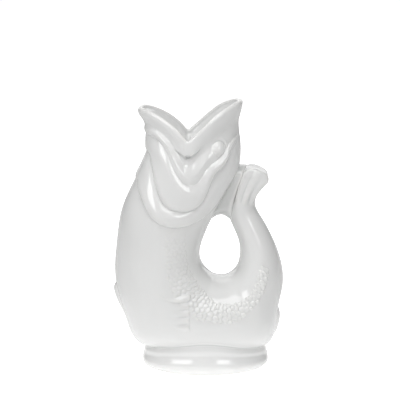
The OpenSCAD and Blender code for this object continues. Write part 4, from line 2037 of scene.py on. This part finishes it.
@dataclass
class Studio:
    """Floor, soft lights and the camera at the photograph's angle."""

    elevation: float = 10.8
    distance: float = 1500.0
    frame_width: float = 353.6
    aim: tuple[float, float, float] = (-4.0, 0.0, 148.6)
    sky: float = 0.27
    # Glow of the floor beside the jug and far from it, how far each reaches, and the glow that shows
    floor_glow: tuple[float, float] = (0.48, 0.12)
    pool: tuple[float, float] = (110.0, 260.0)
    seen_glow: float = 0.8
    floor_gray: float = 0.8
    # Metres from the floor's middle to its edges
    floor_size: float = 14.0
    # Width of the camera's sensor in millimetres
    sensor: float = 36.0
    # Height in metres that the lights look at
    light_aim: float = 0.12
    # Name, turn to the side and lift in degrees, distance, width and height in millimetres, and radiance
    lights: tuple[tuple[str, float, float, float, float, float, float], ...] = (
        ("left_box", -46.0, 36.0, 1100.0, 660.0, 310.0, 3.7),
        ("right_box", 35.0, 36.0, 1100.0, 400.0, 310.0, 3.6),
        ("top_box", -12.0, 70.0, 1200.0, 900.0, 800.0, 2.5),
        ("back_box", 180.0, 22.0, 1600.0, 1700.0, 1300.0, 0.8),
    )

    def build(self) -> None:
        """Make the world, the floor, the lights and the camera."""
        bpy.context.scene.view_settings.view_transform = "Standard"
        self.build_world()
        self.build_floor()
        for light in self.lights:
            self.area(*light)
        self.build_camera()

    def build_world(self) -> None:
        """Make a sky that looks white and lights the jug softly."""
        world = bpy.data.worlds.new("studio")
        world.use_nodes = True
        tree = world.node_tree
        seen = tree.nodes.new("ShaderNodeBackground")
        seen.inputs["Strength"].default_value = 1.0
        seen.inputs["Color"].default_value = (1, 1, 1, 1)
        lit = tree.nodes["Background"]
        lit.inputs["Color"].default_value = (1, 1, 1, 1)
        lit.inputs["Strength"].default_value = self.sky
        rays = tree.nodes.new("ShaderNodeLightPath")
        mix = tree.nodes.new("ShaderNodeMixShader")
        tree.links.new(rays.outputs["Is Camera Ray"], mix.inputs[0])
        tree.links.new(lit.outputs[0], mix.inputs[1])
        tree.links.new(seen.outputs[0], mix.inputs[2])
        tree.links.new(mix.outputs[0], tree.nodes["World Output"].inputs["Surface"])
        bpy.context.scene.world = world

    def build_floor(self) -> None:
        """Make a white floor that the camera sees evenly bright, and that glows in a pool round the jug."""
        bm = bmesh.new()
        bmesh.ops.create_grid(bm, x_segments=1, y_segments=1, size=self.floor_size)
        floor = finish_mesh(bm, "floor")
        mat = bpy.data.materials.new("floor_white")
        mat.use_nodes = True
        tree = mat.node_tree
        links = tree.links
        shader = tree.nodes["Principled BSDF"]
        shader.inputs["Base Color"].default_value = (self.floor_gray, self.floor_gray, self.floor_gray, 1)
        shader.inputs["Roughness"].default_value = 0.9
        shader.inputs["Specular IOR Level"].default_value = 0.1
        shader.inputs["Emission Color"].default_value = (1, 1, 1, 1)
        rays = new_node(tree, "LightPath")
        place = new_node(tree, "TexCoord")
        reach = new_node(tree, "VectorMath", operation="LENGTH")
        near = new_node(tree, "MapRange", interpolation_type="SMOOTHSTEP", From_Min=self.pool[0] * MM,
                        From_Max=self.pool[1] * MM, To_Min=self.floor_glow[0], To_Max=self.floor_glow[1])
        glow = new_node(tree, "MapRange", To_Max=self.seen_glow)
        links.new(place.outputs["Object"], reach.inputs[0])
        links.new(reach.outputs["Value"], near.inputs["Value"])
        links.new(near.outputs["Result"], glow.inputs["To Min"])
        links.new(rays.outputs["Is Camera Ray"], glow.inputs["Value"])
        links.new(glow.outputs["Result"], shader.inputs["Emission Strength"])
        floor.data.materials.append(mat)

    def build_camera(self) -> None:
        """Set the camera where the photograph was taken from."""
        cam = bpy.data.cameras.new("camera")
        obj = bpy.data.objects.new("camera", cam)
        bpy.context.scene.collection.objects.link(obj)
        cam.sensor_width = self.sensor
        cam.lens = self.sensor * self.distance / self.frame_width
        cam.clip_end = 100.0
        lift = math.radians(self.elevation)
        aim = Vector(self.aim) * MM
        obj.location = aim + Vector((0, -math.cos(lift), math.sin(lift))) * self.distance * MM
        obj.rotation_euler = (QUARTER - lift, 0, 0)
        bpy.context.scene.camera = obj

    def area(self, name: str, turn: float, lift: float, distance: float, width: float, height: float,
             radiance: float) -> None:
        """Add a soft light that looks at the jug.

        Args:
            name: Name of the light.
            turn: Degrees from the camera's side towards +X.
            lift: Degrees above level.
            distance: How far from the jug it hangs.
            width: Width of its face.
            height: Height of its face.
            radiance: How bright its face is, in watts for each square metre and steradian.
        """
        light = bpy.data.lights.new(name, "AREA")
        light.shape = "RECTANGLE"
        light.size = width * MM
        light.size_y = height * MM
        light.energy = radiance * math.pi * light.size * light.size_y
        obj = bpy.data.objects.new(name, light)
        obj.visible_camera = False
        bpy.context.scene.collection.objects.link(obj)
        turn, lift = math.radians(turn), math.radians(lift)
        away = Vector((math.sin(turn) * math.cos(lift), -math.cos(turn) * math.cos(lift), math.sin(lift)))
        obj.location = Vector((0.0, 0.0, self.light_aim)) + away * distance * MM
        obj.rotation_euler = (-away).to_track_quat("-Z", "Y").to_euler()


def no_relief(t: Array, a: Array) -> Array:
    """Plain surface."""
    return np.zeros_like(t)


def main() -> None:
    """Build the jug and its studio."""
    logging.basicConfig(level=logging.INFO, format="%(message)s")
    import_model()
    Studio().build()
    effects = Effects()
    glaze = Glaze("white_glaze").material(effects)
    # The reliefs take a milder painted shade and pooled glaze in their hollows
    relief_glaze = Glaze("relief_glaze", hollow=(0.79, 0.795, 0.79), thin=(0.88, 0.88, 0.865),
                         ripple=0.00005).material(effects)
    # Darker glaze for the web: glaze pooled in the recess, and painted shade of the pocket between head and
    # tail
    pooled_and_shaded_glaze = Glaze("pooled_and_shaded_glaze", color=(0.80, 0.81, 0.80), deep=(0.75, 0.76, 0.75)).material(effects)
    # The foot's glaze is lighter than the rest: painted light standing in for light thrown up from the floor;
    # its bare rim is the real unglazed clay
    foot_glaze_with_painted_bounce = Glaze("foot_glaze_with_painted_bounce", color=(0.92, 0.92, 0.91), deep=(0.895, 0.9, 0.895), dullness=0.1,
                       bare=(0.72, 0.68, 0.60)).material(effects)
    lines = HeadLines()
    head = HeadShell(lines)
    Foot().build(foot_glaze_with_painted_bounce)
    head.build(glaze)
    trunk_end = 13.25
    tail_fin = TailFin()
    BodyShell("belly", "belly_shell", head.bottom, trunk_end, rows=330, relief=lines.throat_edge).build(glaze)
    BodyShell("tail", "tail_handle", trunk_end, tail_fin.first, rows=80, relief=no_relief).build(glaze)
    tail_fin.build(glaze)
    # The web wears the darker glaze: painted shade of the pocket, with pooled glaze
    Web().build(pooled_and_shaded_glaze)
    # How far the collar and the gill covers run on under the next layer
    tuck = 4.0
    fold_turns = lines.cheek_line.a
    fold = SurfaceLine(head.fold(fold_turns), fold_turns)
    level = Ramp([(0, 0.0), (180, 0.0)])
    Layer("collar", "gill_collar", lines.collar_line, lines.whole_cover_line, tuck, level,
          lines.collar_rise).build(glaze)
    for side in Side:
        tag = side.name.lower()
        Layer(f"gill_cover_{tag}_plate", f"gill_cover_{tag}", lines.cover_line, lines.plate_top, tuck,
              lines.cover_base, lines.cover_rise).build(glaze, side)
        Layer(f"cheek_{tag}_pad", f"cheek_{tag}", lines.cheek_line, fold, 0.0, lines.cheek_base,
              lines.cheek_rise, radius=9.0, roundness=2.6, fade=1.0, shoulder=0.5, valley=1.0,
              ground=head.relief).build(glaze, side)
        Eye().build(side, head.relief, glaze)
        SideFin().build(side, relief_glaze)
        ScaleField().build(side, relief_glaze)
    Keel("belly_keel", "belly_fin", first=7.05, last=8.0, crest=7.25, rise=3.4, half_width=8.5).build(glaze)
    Keel("vent_keel", "vent_fin", first=11.3, last=12.1, crest=11.85, rise=2.6, half_width=9.0).build(glaze)


if __name__ == "__main__":
    main()
